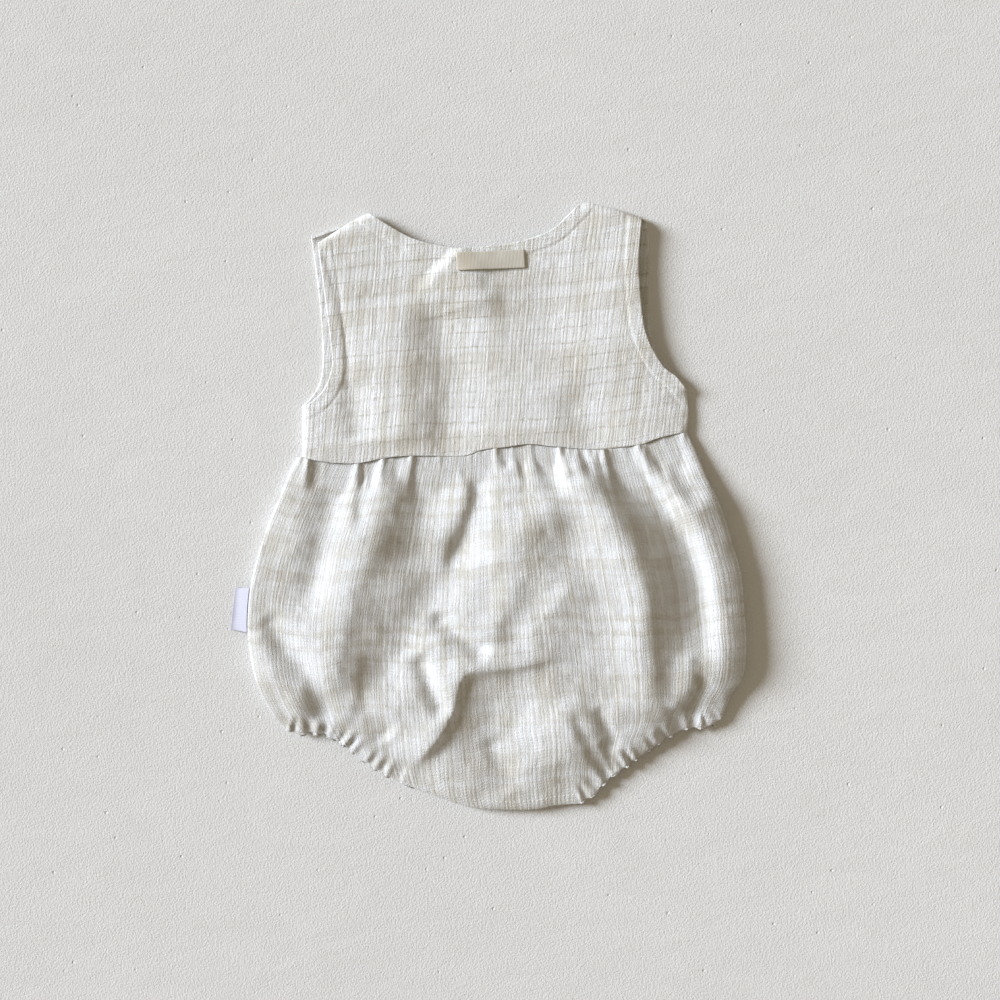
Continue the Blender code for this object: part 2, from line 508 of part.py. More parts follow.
def wall(name, outer, normals, thickness, look, facing_up=True):
    """Closed cloth wall: outer grid, inner grid on every second point, and a rim that joins their edges."""
    sign = 1.0 if facing_up else -1.0
    inner = (outer - thickness * normals)[::2, ::2].copy()
    inner = keep_wall(outer, inner, sign)
    rows, columns = outer.shape[:2]
    inner_rows, inner_columns = inner.shape[:2]
    first = rows * columns
    outer_at = np.arange(first).reshape(rows, columns)
    inner_at = first + np.arange(inner_rows * inner_columns).reshape(inner_rows, inner_columns)

    def quads(at, upward):
        a = at[:-1, :-1].ravel()
        b = at[1:, :-1].ravel()
        c = at[1:, 1:].ravel()
        d = at[:-1, 1:].ravel()
        order = (a, b, c, d) if upward else (a, d, c, b)
        return np.stack(order, axis=1).tolist()

    def ring(at):
        return np.concatenate([at[:-1, 0], at[-1, :-1], at[:0:-1, -1], at[0, :0:-1]])

    faces = quads(outer_at, facing_up) + quads(inner_at, not facing_up)
    outside = ring(outer_at)
    inside = ring(inner_at)
    for i, near in enumerate(inside):
        far = inside[(i + 1) % len(inside)]
        start = outside[2 * i]
        middle = outside[2 * i + 1]
        end = outside[(2 * i + 2) % len(outside)]
        rim = [(start, near, middle), (near, far, middle), (middle, far, end)]
        faces += rim if facing_up else [corner[::-1] for corner in rim]
    points = np.concatenate([outer.reshape(-1, 3), inner.reshape(-1, 3)])
    points = (points - (MIDDLE_X, MIDDLE_Y, 0.0)) * MM
    mesh = bpy.data.meshes.new(name)
    mesh.from_pydata(points.tolist(), [], [[int(i) for i in face] for face in faces])
    mesh.materials.append(look)
    mesh.shade_smooth()
    piece = bpy.data.objects.new(name, mesh)
    bpy.context.scene.collection.objects.link(piece)
    return piece


def material(name, colour, roughness):
    made = bpy.data.materials.new(name)
    made.use_nodes = True
    shader = made.node_tree.nodes["Principled BSDF"]
    shader.inputs["Base Color"].default_value = (*colour, 1.0)
    shader.inputs["Roughness"].default_value = roughness
    shader.inputs["Metallic"].default_value = 0.0
    return made


def leg_edge(at):
    """The bloomers' lower edge: left leg, crotch and right leg, with the elastics' small scallops."""
    edge = joined((LEFT_LEG, CROTCH, RIGHT_LEG), LEG_CUTS, at)
    wave = elastic_wave(LEFT_LEG, edge[:, 0], edge[:, 1]) + elastic_wave(RIGHT_LEG, edge[:, 0], edge[:, 1])
    ends = smooth(at / SCALLOP_ENDS) * smooth((1.0 - at) / SCALLOP_ENDS)
    edge[:, 1] -= SCALLOP * wave * ends
    return edge


def bloomer(name, size, height, look, facing_up):
    """Back or front of the bloomers, between the waist seam, both side seams and the lower edge."""
    across = shares(size[0], True, True, END_SHARE, END_STEPS * size[0] // FRONT_BLOOMER_GRID[0])
    down = shares(size[1], False, True, ROW_SHARE, BLOOMER_END_ROWS)
    down = down**ROW_SPREAD if facing_up else down
    top = waist_edge(WAIST_LINE[0][0], across, -SEAM_GAP / 2)
    left = curve(LEFT_SIDE, down)
    right = curve(RIGHT_SIDE, down)
    left[0] = top[0]
    right[0] = top[-1]
    bottom = leg_edge(across)
    flat = spread(top, bottom, left, right, across, down)
    outer = np.dstack([flat, height(flat[..., 0], flat[..., 1])])
    normals = grid_normals(outer) if facing_up else -grid_normals(outer)
    lean_back(normals[0], 1.0)
    normals[-1] = edge_normals(outer[-1], False)
    normals[:, 0] = edge_normals(outer[:, 0], False)
    normals[:, -1] = edge_normals(outer[:, -1], True)
    return wall(name, outer, normals, WALL, look, facing_up)


def bodice(name, size, outline, height, look, facing_up):
    """Back or front of the bodice, between the waist seam, side seams, armholes, shoulders and neckline."""
    left_shoulder, neck, right_shoulder, left_armhole, right_armhole = outline
    across = shares(size[0], True, True, END_SHARE, END_STEPS * size[0] // FRONT_BODICE_GRID[0])
    down = shares(size[1], True, False, ROW_SHARE, BODICE_END_ROWS)
    top = joined((left_shoulder, neck, right_shoulder), NECK_CUTS, across)
    left = joined((left_armhole[::-1], BODICE_LEFT_SEAM), (ARMHOLE_CUT,), down)
    right = joined((right_armhole[::-1], BODICE_RIGHT_SEAM), (ARMHOLE_CUT,), down)
    bottom = waist_edge(left[-1, 0], across, SEAM_GAP / 2)
    left[-1] = bottom[0]
    right[-1] = bottom[-1]
    flat = spread(top, bottom, left, right, across, down)
    outer = np.dstack([flat, height(flat[..., 0], flat[..., 1])])
    normals = grid_normals(outer) if facing_up else -grid_normals(outer)
    lean_back(normals[-1], -1.0)
    seam = down > ARMHOLE_CUT
    normals[seam, 0] = edge_normals(outer[:, 0], False)[seam]
    normals[seam, -1] = edge_normals(outer[:, -1], True)[seam]
    shoulder = (across < NECK_CUTS[0]) | (across > NECK_CUTS[1])
    normals[0, shoulder] = edge_normals(outer[0], True)[shoulder]
    return wall(name, outer, normals, WALL, look, facing_up)


def neck_label(look):
    """Ribbon that lies along the bodice's own surface, sewn at its ends and bowed a little between them."""
    s, t = np.meshgrid(np.linspace(-0.5, 0.5, NECK_LABEL_GRID[0]), np.linspace(0.5, -0.5, NECK_LABEL_GRID[1]))
    along = s * NECK_LABEL_SIZE[0]
    up = t * NECK_LABEL_SIZE[1]
    x = NECK_LABEL_MIDDLE[0] + along * math.cos(NECK_LABEL_TURN) - up * math.sin(NECK_LABEL_TURN)
    y = NECK_LABEL_MIDDLE[1] + along * math.sin(NECK_LABEL_TURN) + up * math.cos(NECK_LABEL_TURN)
    bow = NECK_LABEL_BOW * np.cos(math.pi * s)
    outer = np.dstack([x, y, bodice_top(x, y) + NECK_LABEL_GAP + RIBBON + bow])
    normals = np.tile((0.0, 0.0, 1.0), (*outer.shape[:2], 1))
    return wall("neck_label", outer, normals, RIBBON, look)


def care_label(look):
    """Folded satin label that leaves the left side seam and droops to the floor."""
    s, t = np.meshgrid(np.linspace(0.0, 1.0, CARE_GRID[0]), np.linspace(0.0, 1.0, CARE_GRID[1]))
    side = evenly(LEFT_SIDE, 200)[::-1]
    y_in = CARE_TOP + t * (CARE_BOTTOM - CARE_TOP)
    x_in = np.interp(y_in, side[:, 1], side[:, 0]) - SEAM_GAP
    x_out = CARE_OUTER_TOP[0] + t * (CARE_OUTER_BOTTOM[0] - CARE_OUTER_TOP[0])
    y_out = CARE_OUTER_TOP[1] + t * (CARE_OUTER_BOTTOM[1] - CARE_OUTER_TOP[1])
    x = x_out + s * (x_in - x_out)
    y = y_out + s * (y_in - y_out)
    root = SIDE_SEAM + CARE_WALL / 2
    z = CARE_TIP + (root - CARE_TIP) * s**CARE_DROOP + CARE_BOW * np.sin(math.pi * t) * (1.0 - s)
    outer = np.dstack([x, y, z])
    normals = np.tile((0.0, 0.0, 1.0), (*outer.shape[:2], 1))
    return wall("care_label", outer, normals, CARE_WALL, look)


def build():
    for old in list(bpy.data.objects):
        bpy.data.objects.remove(old)
    back_edges = (LEFT_SHOULDER, NECKLINE, RIGHT_SHOULDER, LEFT_ARMHOLE, RIGHT_ARMHOLE)
    front_edges = (
        FRONT_LEFT_SHOULDER,
        FRONT_NECKLINE,
        FRONT_RIGHT_SHOULDER,
        FRONT_LEFT_ARMHOLE,
        FRONT_RIGHT_ARMHOLE,
    )
    bodice_back_cloth = material("back bodice cotton", CLOTH_COLOUR, CLOTH_ROUGHNESS)
    bodice_front_cloth = material("front bodice cotton", CLOTH_COLOUR, CLOTH_ROUGHNESS)
    bloomer_back_cloth = material("back bloomer cotton", CLOTH_COLOUR, CLOTH_ROUGHNESS)
    bloomer_front_cloth = material("front bloomer cotton", CLOTH_COLOUR, CLOTH_ROUGHNESS)
    bodice("back_bodice", BACK_BODICE_GRID, back_edges, bodice_top, bodice_back_cloth, True)
    bodice("front_bodice", FRONT_BODICE_GRID, front_edges, bodice_under, bodice_front_cloth, False)
    bloomer("back_bloomer", BACK_BLOOMER_GRID, bloomer_top, bloomer_back_cloth, True)
    bloomer("front_bloomer", FRONT_BLOOMER_GRID, bloomer_under, bloomer_front_cloth, False)
    neck_label(material("cream ribbon", CREAM_COLOUR, RIBBON_ROUGHNESS))
    care_label(material("white satin", WHITE_COLOUR, SATIN_ROUGHNESS))


build()
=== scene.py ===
"""Baby bubble romper bodysuit, laid flat on a plaster floor so that its back side shows.

The sewn panels are cloth walls over the same seams and outlines as the solids that they stand for, and on
nearly the same folds, with finer creases, gathers, hems and stitching on them. Shapes are worked out in
millimetres, and are moved to the part's frame in metres when a mesh is made.
"""

import math
from collections import namedtuple

import bpy
import numpy as np
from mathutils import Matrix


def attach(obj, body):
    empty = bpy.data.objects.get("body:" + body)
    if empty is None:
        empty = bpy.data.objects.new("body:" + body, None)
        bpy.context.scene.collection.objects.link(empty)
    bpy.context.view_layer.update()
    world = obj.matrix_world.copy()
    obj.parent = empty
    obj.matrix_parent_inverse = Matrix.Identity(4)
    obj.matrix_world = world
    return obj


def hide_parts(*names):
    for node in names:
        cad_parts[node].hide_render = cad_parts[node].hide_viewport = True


bl_info = {
    "name": "Baby bubble romper",
    "version": (1, 0, 0),
    "blender": (4, 5, 0),
    "location": "3D View > Sidebar > Romper",
    "description": "Cloth, labels, stitching and stage of a baby romper that lies flat with its back up",
    "category": "Object",
}

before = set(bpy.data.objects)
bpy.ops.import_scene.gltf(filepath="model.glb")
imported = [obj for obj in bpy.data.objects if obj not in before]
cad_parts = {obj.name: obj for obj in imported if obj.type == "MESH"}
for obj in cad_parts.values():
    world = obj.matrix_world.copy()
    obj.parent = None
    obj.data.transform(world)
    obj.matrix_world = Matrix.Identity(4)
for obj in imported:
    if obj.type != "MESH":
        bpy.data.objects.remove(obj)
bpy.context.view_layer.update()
MM = 0.001

# Cloth and seams, in millimetres as every size below
WALL = 1.4  # thickness of the crinkled double cloth
SEAM_GAP = 0.3  # clearance between two pieces that are sewn together
WAIST_GAP = 0.1  # the same at the waist seam, whose stitches pull both edges close
LEAST_WALL = 0.7  # least thickness left under a sharp crease
KEEP_ROUNDS = 14  # rounds in which an inner side gives way to a sharp crease
KEEP_SHARE = 0.3  # share of the lack that it gives in each round
LEAST_TOP = 4.8  # lowest that the back's outer side sinks in a deep fold, clear of the front
SINK_EASE = 0.6  # how softly a deep fold levels out there
EDGE_LEAN = 0.18  # slope by which the edges at the waist seam lean back under their own cloth
RIM_STEPS = 3  # rows of points round the edge of a wall

# Middle of the garment's box, in the coordinates of the tables below
MIDDLE_X = 0.57
MIDDLE_Y = -0.05

# Heights above the floor
BODICE_TOP = 6.6  # upper layer of the bodice
BODICE_SEAM = 3.4  # side seams and shoulder seams, halfway between the layers
BODICE_ROUND = 6.0  # width over which the bodice rounds down to its side seams
WAIST_TOP = 5.4  # gathered cloth where it leaves the waist seam
SIDE_SEAM = 8.0  # side seams of the bloomers
LEG_SEAM = 4.5  # leg elastics and crotch edge
PUFF = 10.5  # rise of the puffed back above the waist seam
SIDE_ROUND = 24.0  # width over which the puff rounds down to a side seam
CORNER_ROUND = 4.0  # the same at the waist's ends, where the layers lie close together
LEG_ROUND = 11.0
CROTCH_ROUND = 9.0
WAIST_RISE = 52.0  # length over which the puff rises from the waist
WAIST_START = 1.0  # how far inside the bodice that rise begins
SEAM_RISE = 45.0  # length over which the side seams rise from the waist
LEG_RISE = 42.0  # length over which puff and seams rise from a leg
CROTCH_RISE = 55.0
LEG_PUFF = 0.3  # share of the puff that is left at a leg
CROTCH_PUFF = 0.3
LEG_SEAM_SHARE = 0.15  # share of a side seam's height that is left at a leg
TRAY_ROUND = 12.0  # width over which the front rises from the floor to the seams
WAIST_FOLDS = 0.4  # share of a fold's height that is left at the waist seam
WAIST_FOLD_REACH = 12.0  # length over which a fold reaches its full height
BODICE_WAIST_FOLDS = 0.6
BODICE_FOLD_REACH = 20.0

# Gathers on the leg elastics
ELASTIC_PITCH = 9.0  # distance between two gathers
ELASTIC_DEPTH = 1.3
ELASTIC_REACH = 15.0  # how far a gather runs into the leg
ELASTIC_DRIFT = 0.9  # how unevenly the gathers lie, in radians, and how fast and from where that changes
DRIFT_RATE = 0.11
DRIFT_START = 1.0
SCALLOP = 0.7  # how far a gather pushes the leg's edge out
SCALLOP_ENDS = 0.04  # share of the lower edge over which the scallops start at its ends

# Finer relief than the solids have
RUFFLE_PITCH = 5.6  # distance between two small gathers at the waist seam
RUFFLE_DEPTH = 0.45
RUFFLE_REACH = 12.0
LEG_RUFFLE_PITCH = 6.4  # the same on the leg elastics
LEG_RUFFLE_DEPTH = 0.9
LEG_RUFFLE_REACH = 13.0
LEG_SCALLOP = 0.55
# How uneven they are. A row has a fixed part, a part that varies, the length over which it does, and a seed.
RUFFLE_DRIFT = (0.0, 2.2, 17.0, 5)  # in radians along the wave
RUFFLE_REACHES = (0.75, 0.5, 9.0, 6)  # shares of the reach
LEG_RUFFLE_DRIFT = (0.0, 1.6, 14.0, 8)
LEG_RUFFLE_HEIGHTS = (0.65, 0.45, 8.0, 9)  # shares of the height

# Soft rumples of the cloth and the labels: height, slant, pitch and seed
Rumple = namedtuple("Rumple", "height slant pitch seed")
BLOOMER_RUMPLES = (Rumple(0.55, 0.0, 13.0, 1), Rumple(0.28, 0.3, 5.5, 2))
BODICE_RUMPLES = (Rumple(0.32, 0.0, 15.0, 3), Rumple(0.16, 0.0, 5.0, 4))
NECK_LABEL_RUMPLE = Rumple(0.12, 0.0, 6.0, 11)
CARE_RUMPLE = Rumple(0.12, 0.0, 7.0, 12)

SEAM_ROLL = 1.5  # width over which the cloth turns down into the waist seam
SEAM_ROLL_DROP = 0.2
HEM_WIDTH = 8.5  # turned hems at neck and armholes
HEM_RISE = 0.35
HEM_GROOVE = 0.3
HEM_EASE = 0.8  # half the width over which a hem's fold levels out
HEM_GROOVE_WIDTH = 0.9
STITCH_RINGS = 5
STITCH_SIDES = 6
CROTCH_HEM = 5.8  # how far the crotch hem's stitching lies from the edge
CROTCH_STITCH = (2.9, 2.1, 0.6, 0.12)  # pitch, length, width and rise of a stitch

# Grid sizes: columns across, rows from top to bottom. All are even, since an inner grid takes every
# second point.
BACK_BLOOMER_GRID = (320, 220)
FRONT_BLOOMER_GRID = (160, 100)
BACK_BODICE_GRID = (250, 200)
FRONT_BODICE_GRID = (150, 110)
END_SHARE = 0.06  # share of a panel's width over which its columns close up towards a side
ROW_SHARE = 0.05  # share of a panel's length over which its rows close up towards an end
ROW_SPREAD = 1.15  # power that sets the back bloomers' rows closer to the waist

# Shares of an edge's length at which its corners lie
LEG_CUTS = (0.3, 0.62)
NECK_CUTS = (0.2, 0.8)
ARMHOLE_CUT = 0.76

# Cut of what shows of each panel: width and length in millimetres, and area in square metres
BLOOMER_CUT = (360.0, 262.0, 0.080)
FRONT_BLOOMER_CUT = (360.0, 240.0, 0.072)
BACK_BODICE_CUT = (252.0, 168.0, 0.0345)
FRONT_BODICE_CUT = (252.0, 168.0, 0.031)

# Columns and rows of points of the labels, and the share of the care label beyond which it enters the seam
NECK_LABEL_GRID = (81, 25)
CARE_GRID = (41, 61)
CARE_SEWN = 0.98

# Grain of the bodice's cloth: how far ribs lean to the left and cross threads rise to the right, at each x
Grain = namedtuple("Grain", "x lean rise")
GRAIN = (
    Grain(-130, -0.08, 0.20),
    Grain(-80, -0.07, 0.14),
    Grain(-40, -0.06, 0.06),
    Grain(10, -0.07, 0.03),
    Grain(60, -0.10, 0.10),
    Grain(100, -0.12, 0.16),
    Grain(140, -0.08, 0.14),
)
GRAIN_MIDDLE = 110.0
GRAIN_SPAN = (-140.0, 150.0, 291)  # first and last station across the bodice, and their number

# Colours of the yarn, in sRGB
WHITE_YARN = "EAEBEB"
BEIGE_YARN = "D6D3CA"
VALLEY_PAINTED_SHADE = "C6C1B3"
LINE_YARN = "B4AFA0"
SLUB_YARN = "F6F6F6"
RIBBON_END = "CBC3B3"
# Both satin tones, this one and the label settings' one, are greyed below the tape's white as painted shade
SATIN_DARKER_PAINTED_SHADE = "ACABB7"
THREAD_DARK = "D9D5CA"
THREAD_LIGHT = "F1EFE9"
CLOTH_UV = "cloth"

# Cotton of both pairs of panels: share of beige yarn, strength of the lines across, and lightness.
# The bloomers' lower lightness is painted shade: the same cloth as the bodice's, made darker.
Cotton = namedtuple("Cotton", "name beige lines light")
BODICE_COTTON = Cotton("crinkled cotton, bodice", 0.8, 0.7, 0.99)
SHADED_BLOOMER_COTTON = Cotton("crinkled cotton, bloomers, painted shade", 0.75, 0.3, 0.9)

# Labels
RIBBON = 0.8
CARE_WALL = 0.9

# Stage: floor, light from the left and camera, in metres and radians
FLOOR = 3.0
FLOOR_Z = -0.0002
WINDOW_HEIGHT = math.radians(25)
WINDOW_WAY = math.pi - math.atan2(0.22, 0.80)
WINDOW_TINT = (0.84, 0.90, 1.0)
ROOM_TINT = (1.0, 0.853, 0.64)
VIEW_WIDTH = 0.6425  # what the photograph's frame spans at the level of the cloth
VIEW_LEVEL = 0.008
VIEW_X = 0.0078
VIEW_Y = 0.0042

# Outlines, measured, in order along each edge
WAIST_LINE = (
    (-122.5, 32.5), (-107.5, 29), (-91, 27.5), (-80.5, 28), (-65.5, 31), (-48, 32.5), (-15, 32.5), (-2, 36.5),
    (12, 38), (27.5, 40), (42, 38.5), (68.5, 36.5), (81.5, 37.5), (100, 40), (111, 44), (121.5, 46.5),
    (129, 48),
)
LEFT_SIDE = (
    (-122.5, 32.5), (-128, 22), (-135, 4), (-142.5, -15), (-148.5, -34.5), (-152.5, -53.5), (-154, -73),
    (-153.5, -86), (-151, -103), (-146.5, -118), (-139, -132), (-129.5, -144.5),
)
RIGHT_SIDE = (
    (129, 48), (134.5, 36), (141.5, 18.5), (150, 0.5), (158, -25), (163, -42.5), (165.5, -68.5),
    (166.5, -91), (164.5, -109), (157.5, -121), (153.5, -130), (151, -137),
)
LEFT_LEG = (
    (-129.5, -144.5), (-121, -146.5), (-110, -146), (-98.5, -149.5), (-87.5, -157.5), (-70.5, -170),
    (-55.5, -177.5),
)
CROTCH = (
    (-55.5, -177.5), (-40.5, -183.5), (-12, -193.5), (13, -195.5), (32, -195), (44.5, -192.5), (60, -191),
)
RIGHT_LEG = (
    (60, -191), (68.5, -186.5), (75, -179), (86.5, -170), (101.5, -159.5), (117, -148.5), (129, -143),
    (140.5, -142.5), (151, -137),
)
NECKLINE = (
    (-77, 189), (-60.5, 178.5), (-45.5, 171), (-23, 166), (-9.5, 166), (18.5, 169.5), (41, 177), (54, 188.5),
    (60, 194.5),
)
FRONT_NECKLINE = ((-77, 189), (-66, 160), (-40, 137), (-8, 130), (24, 138), (50, 162), (60, 194.5))
LEFT_SHOULDER = ((-108.5, 170.5), (-88, 183.5), (-77, 189))
RIGHT_SHOULDER = ((60, 194.5), (66, 195.5), (80.5, 192.5), (99, 186))
FRONT_LEFT_SHOULDER = ((-113, 174), (-88, 183.5), (-77, 189))
FRONT_RIGHT_SHOULDER = ((60, 194.5), (66, 195.5), (80.5, 192.5), (102, 185.5))
LEFT_ARMHOLE = (
    (-119.5, 63.5), (-113, 66.5), (-106, 73), (-101, 82.5), (-99, 94), (-103, 129.5), (-108.5, 170.5),
)
RIGHT_ARMHOLE = (
    (129, 73.5), (122, 82.5), (112.5, 90.5), (101.5, 111.5), (97.5, 142.5), (97, 159.5), (99, 186),
)
FRONT_LEFT_ARMHOLE = ((-119.5, 63.5), (-113, 70.5), (-108, 78.5), (-105.5, 94), (-107.5, 130.5), (-113, 174))
FRONT_RIGHT_ARMHOLE = (
    (129, 73.5), (121.5, 84), (113, 93), (106.5, 104), (103.5, 132.5), (104, 171), (102, 185.5),
)
BODICE_LEFT_SEAM = ((-119.5, 63.5), (-119, 54.5), (-119.5, 31.6))
BODICE_RIGHT_SEAM = ((129, 73.5), (130, 59), (129, 48))

# Folds of the puffed back, in order from the left side to the right. A fold runs down its line. Its height
# is positive on a crest and negative in a valley, and it fades over a share of its line at each end.
Fold = namedtuple("Fold", "name height left_width right_width fade_in fade_out line")
FOLDS = (
    Fold("far left crest", 0.8, 12.8, 10, 0.15, 0.3, ((-115, 26), (-118, 1), (-128, -31), (-142, -60))),
    Fold("far left valley", -5, 11, 10, 0, 0.3,
         ((-95.5, 28.5), (-100, 4), (-105.5, -28), (-112, -52.5), (-124, -76))),
    Fold("left crest", 0.8, 8.4, 5.1, 0.1, 0.4, ((-88, 26), (-86.5, 4), (-89.5, -22))),
    Fold("left pleat", -1.6, 3.9, 7, 0, 0.4, ((-79, 29), (-81, 4), (-82, -22))),
    Fold("left leg crest", 3.2, 16, 10, 0.1, 0.15,
         ((-61, 29), (-65.5, 4), (-76.5, -31), (-90.5, -66.5), (-97, -92), (-95.5, -127.5))),
    Fold("left leg valley", -6, 14, 17, 0, 0.35,
         ((-34, 31), (-38, 4), (-44.5, -15), (-49.5, -34.5), (-54.5, -57))),
    Fold("middle crest", 0.6, 11.6, 6.5, 0.1, 0.4, ((-14, 29), (-17.5, 4), (-26.5, -15), (-34, -32))),
    Fold("middle valley", -4, 5, 10, 0, 0.3,
         ((-4, 31), (-5, 11), (-11, -10), (-17.5, -24.5), (-24.5, -39.5), (-29, -50))),
    Fold("left knee valley", -6, 18, 16, 0.2, 0.2,
         ((-7, -3.5), (-15, -21.5), (-24, -39.5), (-38, -61.5), (-52, -80.5), (-60, -98.5), (-63.5, -118),
          (-61, -134))),
    Fold("upper cross fold", 3.5, 14, 18, 0.3, 0.3,
         ((53.5, 10.5), (31, -10), (21, -23), (13.5, -37.5), (9.5, -53.5))),
    Fold("upper cross end", 2.5, 10, 9, 0.3, 0.2, ((20, -39.5), (15, -60), (6.5, -74), (-0.5, -92))),
    Fold("lower cross fold", 2.4, 8, 16, 0.25, 0.2, ((62.5, -44), (48, -60), (36, -74), (21, -89))),
    Fold("leg hollow", -2.5, 14, 14, 0.3, 0.3, ((66, -2), (54.5, -24.5), (48, -47))),
    Fold("right leg crest", 8, 18, 12, 0.1, 0.3,
         ((45.5, 39), (71.5, 4), (80.5, -10), (88, -23), (93, -35.5), (99, -50.5), (101, -86), (102, -118),
          (101, -143.5))),
    Fold("right leg channel", -10.5, 15, 8, 0.2, 0.45,
         ((71.5, 37.5), (92, 19.5), (107.5, 4), (118, -10), (126.5, -26), (132.5, -47), (136, -73),
          (137.5, -118))),
    Fold("right side crest", 1.5, 8, 14, 0.2, 0.15,
         ((106, 23.5), (126.5, 1), (139.5, -21.5), (148.5, -47), (154, -79.5), (152.5, -118))),
    Fold("right leg end", 3.6, 20, 11, 0.3, 0.3, ((116, -109), (113, -124.5), (108, -139.5), (98, -157.5))),
    Fold("left kink crest", 2.2, 7.7, 6.4, 0.1, 0.2,
         ((-149.5, -78), (-138, -104), (-122, -128), (-116.5, -143.5))),
    Fold("left kink valley", -3, 6.4, 7.7, 0.1, 0.1,
         ((-142.5, -68), (-128, -91), (-108.5, -118), (-104, -141.5))),
    Fold("pocket valley", -4.6, 6.5, 6, 0.2, 0.2, ((-43, -92), (-38, -111.5), (-30, -127.5), (-25, -136))),
    Fold("pocket ridge", 4.2, 12, 4, 0.4, 0.15,
         ((66, -89), (44.5, -95), (26.5, -100), (11.5, -103), (-1.5, -104), (-11, -104.5), (-16.5, -109),
          (-19.5, -119), (-22, -129.5), (-26.5, -139.5), (-35.5, -152.5), (-53.5, -170.5))),
    Fold("pocket crease", -4.8, 7, 5.5, 0.2, 0.2,
         ((-36, -67.5), (-23, -79), (-9, -89), (3, -96))),
    Fold("left knee drop", -2.2, 5, 12, 0.3, 0.3, ((-74, -92), (-78, -112), (-78, -128))),
    Fold("crotch valley", -2.4, 7.7, 9, 0.2, 0.2, ((0.5, -147), (8.5, -166), (16, -185.5))),
    Fold("crotch crest", 3.2, 26, 12, 0.3, 0.35, ((66, -112), (54, -136), (62, -162), (64, -182))),
    Fold("right gather upper", -1.8, 4.5, 5, 0.2, 0, ((54, -128), (60, -142), (67, -157.5), (76.5, -170.5))),
    Fold("right gather lower", -1.8, 3, 3.5, 0.3, 0, ((73, -148.5), (77.5, -157.5), (81.5, -168))),
    Fold("right knee crest", 2.2, 7, 6.5, 0.2, 0.1, ((130.5, -91), (127, -111.5), (121.5, -132))),
    Fold("right knee valley", -1.5, 5, 4.5, 0.2, 0.1, ((140.5, -105), (136, -123.5), (130, -138))),
    Fold("waist fold right", -5, 7, 20, 0, 0.35, ((31.5, 36.5), (40.5, 21), (48, 4))),
    Fold("side fold right", -5, 7, 10, 0, 0.35, ((112.5, 39), (124.5, 21), (138, -3.5))),
    Fold("far left tuck", -2.5, 4, 7, 0, 0.5, ((-96, 29), (-95, 15), (-99, 0))),
    Fold("left leg tuck", -2.5, 5, 6, 0, 0.6, ((-41, 31), (-43, 15), (-49, -5))),
    Fold("middle tuck", -2, 3.5, 4.5, 0, 0.6, ((-9, 34), (-8, 15), (-9, 0))),
    Fold("right gather outer", -2.2, 4.5, 4.5, 0.2, 0.2, ((71, -126), (76, -141), (84, -158))),
    Fold("left leg dent", -3, 12, 7, 0.3, 0.2, ((-86.5, -124.5), (-72.5, -136), (-60, -148.5))),
)

# Soft hollows and swells of the puffed back
Swell = namedtuple("Swell", "name height x y x_radius y_radius")
SWELLS = (
    Swell("sunken crotch", -7, 6, -142, 30, 28),
    Swell("middle swell", 2, 47, -60, 58, 58),
    Swell("low left side", -7, -142, -45, 32, 65),
    Swell("hollow under the lobe", -3, 66, -119, 30, 16),
    Swell("low right leg end", -1.2, 134, -142, 22, 22),
    Swell("pocket floor", -2, 26, -114, 22, 14),
    Swell("full right side", 1.5, 152, -112, 14, 22),
)

# Gathers at the waist seam: where each starts, how far it leans to the right, its length and its height
Gather = namedtuple("Gather", "x lean length height")
GATHERS = (
    Gather(-115, -3.6, 23.8, 2), Gather(-108.5, -3.6, 21, -2.2), Gather(-103.5, -2.7, 23.8, 1.6),
    Gather(-95.5, 0, 23.8, -2), Gather(-84, 0, 18.2, 1.6), Gather(-74, -0.8, 23.8, -2.8),
    Gather(-67.5, -1.8, 23.8, 1.7), Gather(-57, -2.7, 21, -1.7), Gather(-48, -3.6, 26.6, 2),
    Gather(-30, -2.7, 23.8, 2), Gather(-24.5, 0, 18.2, -1.7), Gather(-14.5, 1.8, 21, -2),
    Gather(-8.5, 1.8, 26.6, 1.6), Gather(5, 1.8, 19.6, 1.6), Gather(12, 1.8, 16.8, -2),
    Gather(20.5, 5.5, 30.8, -2.9), Gather(27.5, 7.1, 26.6, 2.2), Gather(39, 5.5, 23.8, -1.6),
    Gather(47, 7.1, 32.2, 2.2), Gather(61.5, 7.1, 26.6, -2), Gather(75, 7.1, 30.8, 2),
    Gather(83.5, 7.1, 26.6, -1.6), Gather(98.5, 9, 30.8, 2), Gather(106, 10.8, 32.2, -2.2),
    Gather(113, 9, 23.8, 1.7), Gather(119, 9, 23.8, -2.2),
)
GATHER_WIDTH = 3.0
GATHER_FADE = 0.6  # share of its length over which a gather fades
GATHER_ABOVE = 2.0  # how far above the waist seam it starts
GATHER_START = -0.2  # shares of its lean and of its length at its start and middle
GATHER_MIDDLE = 0.4

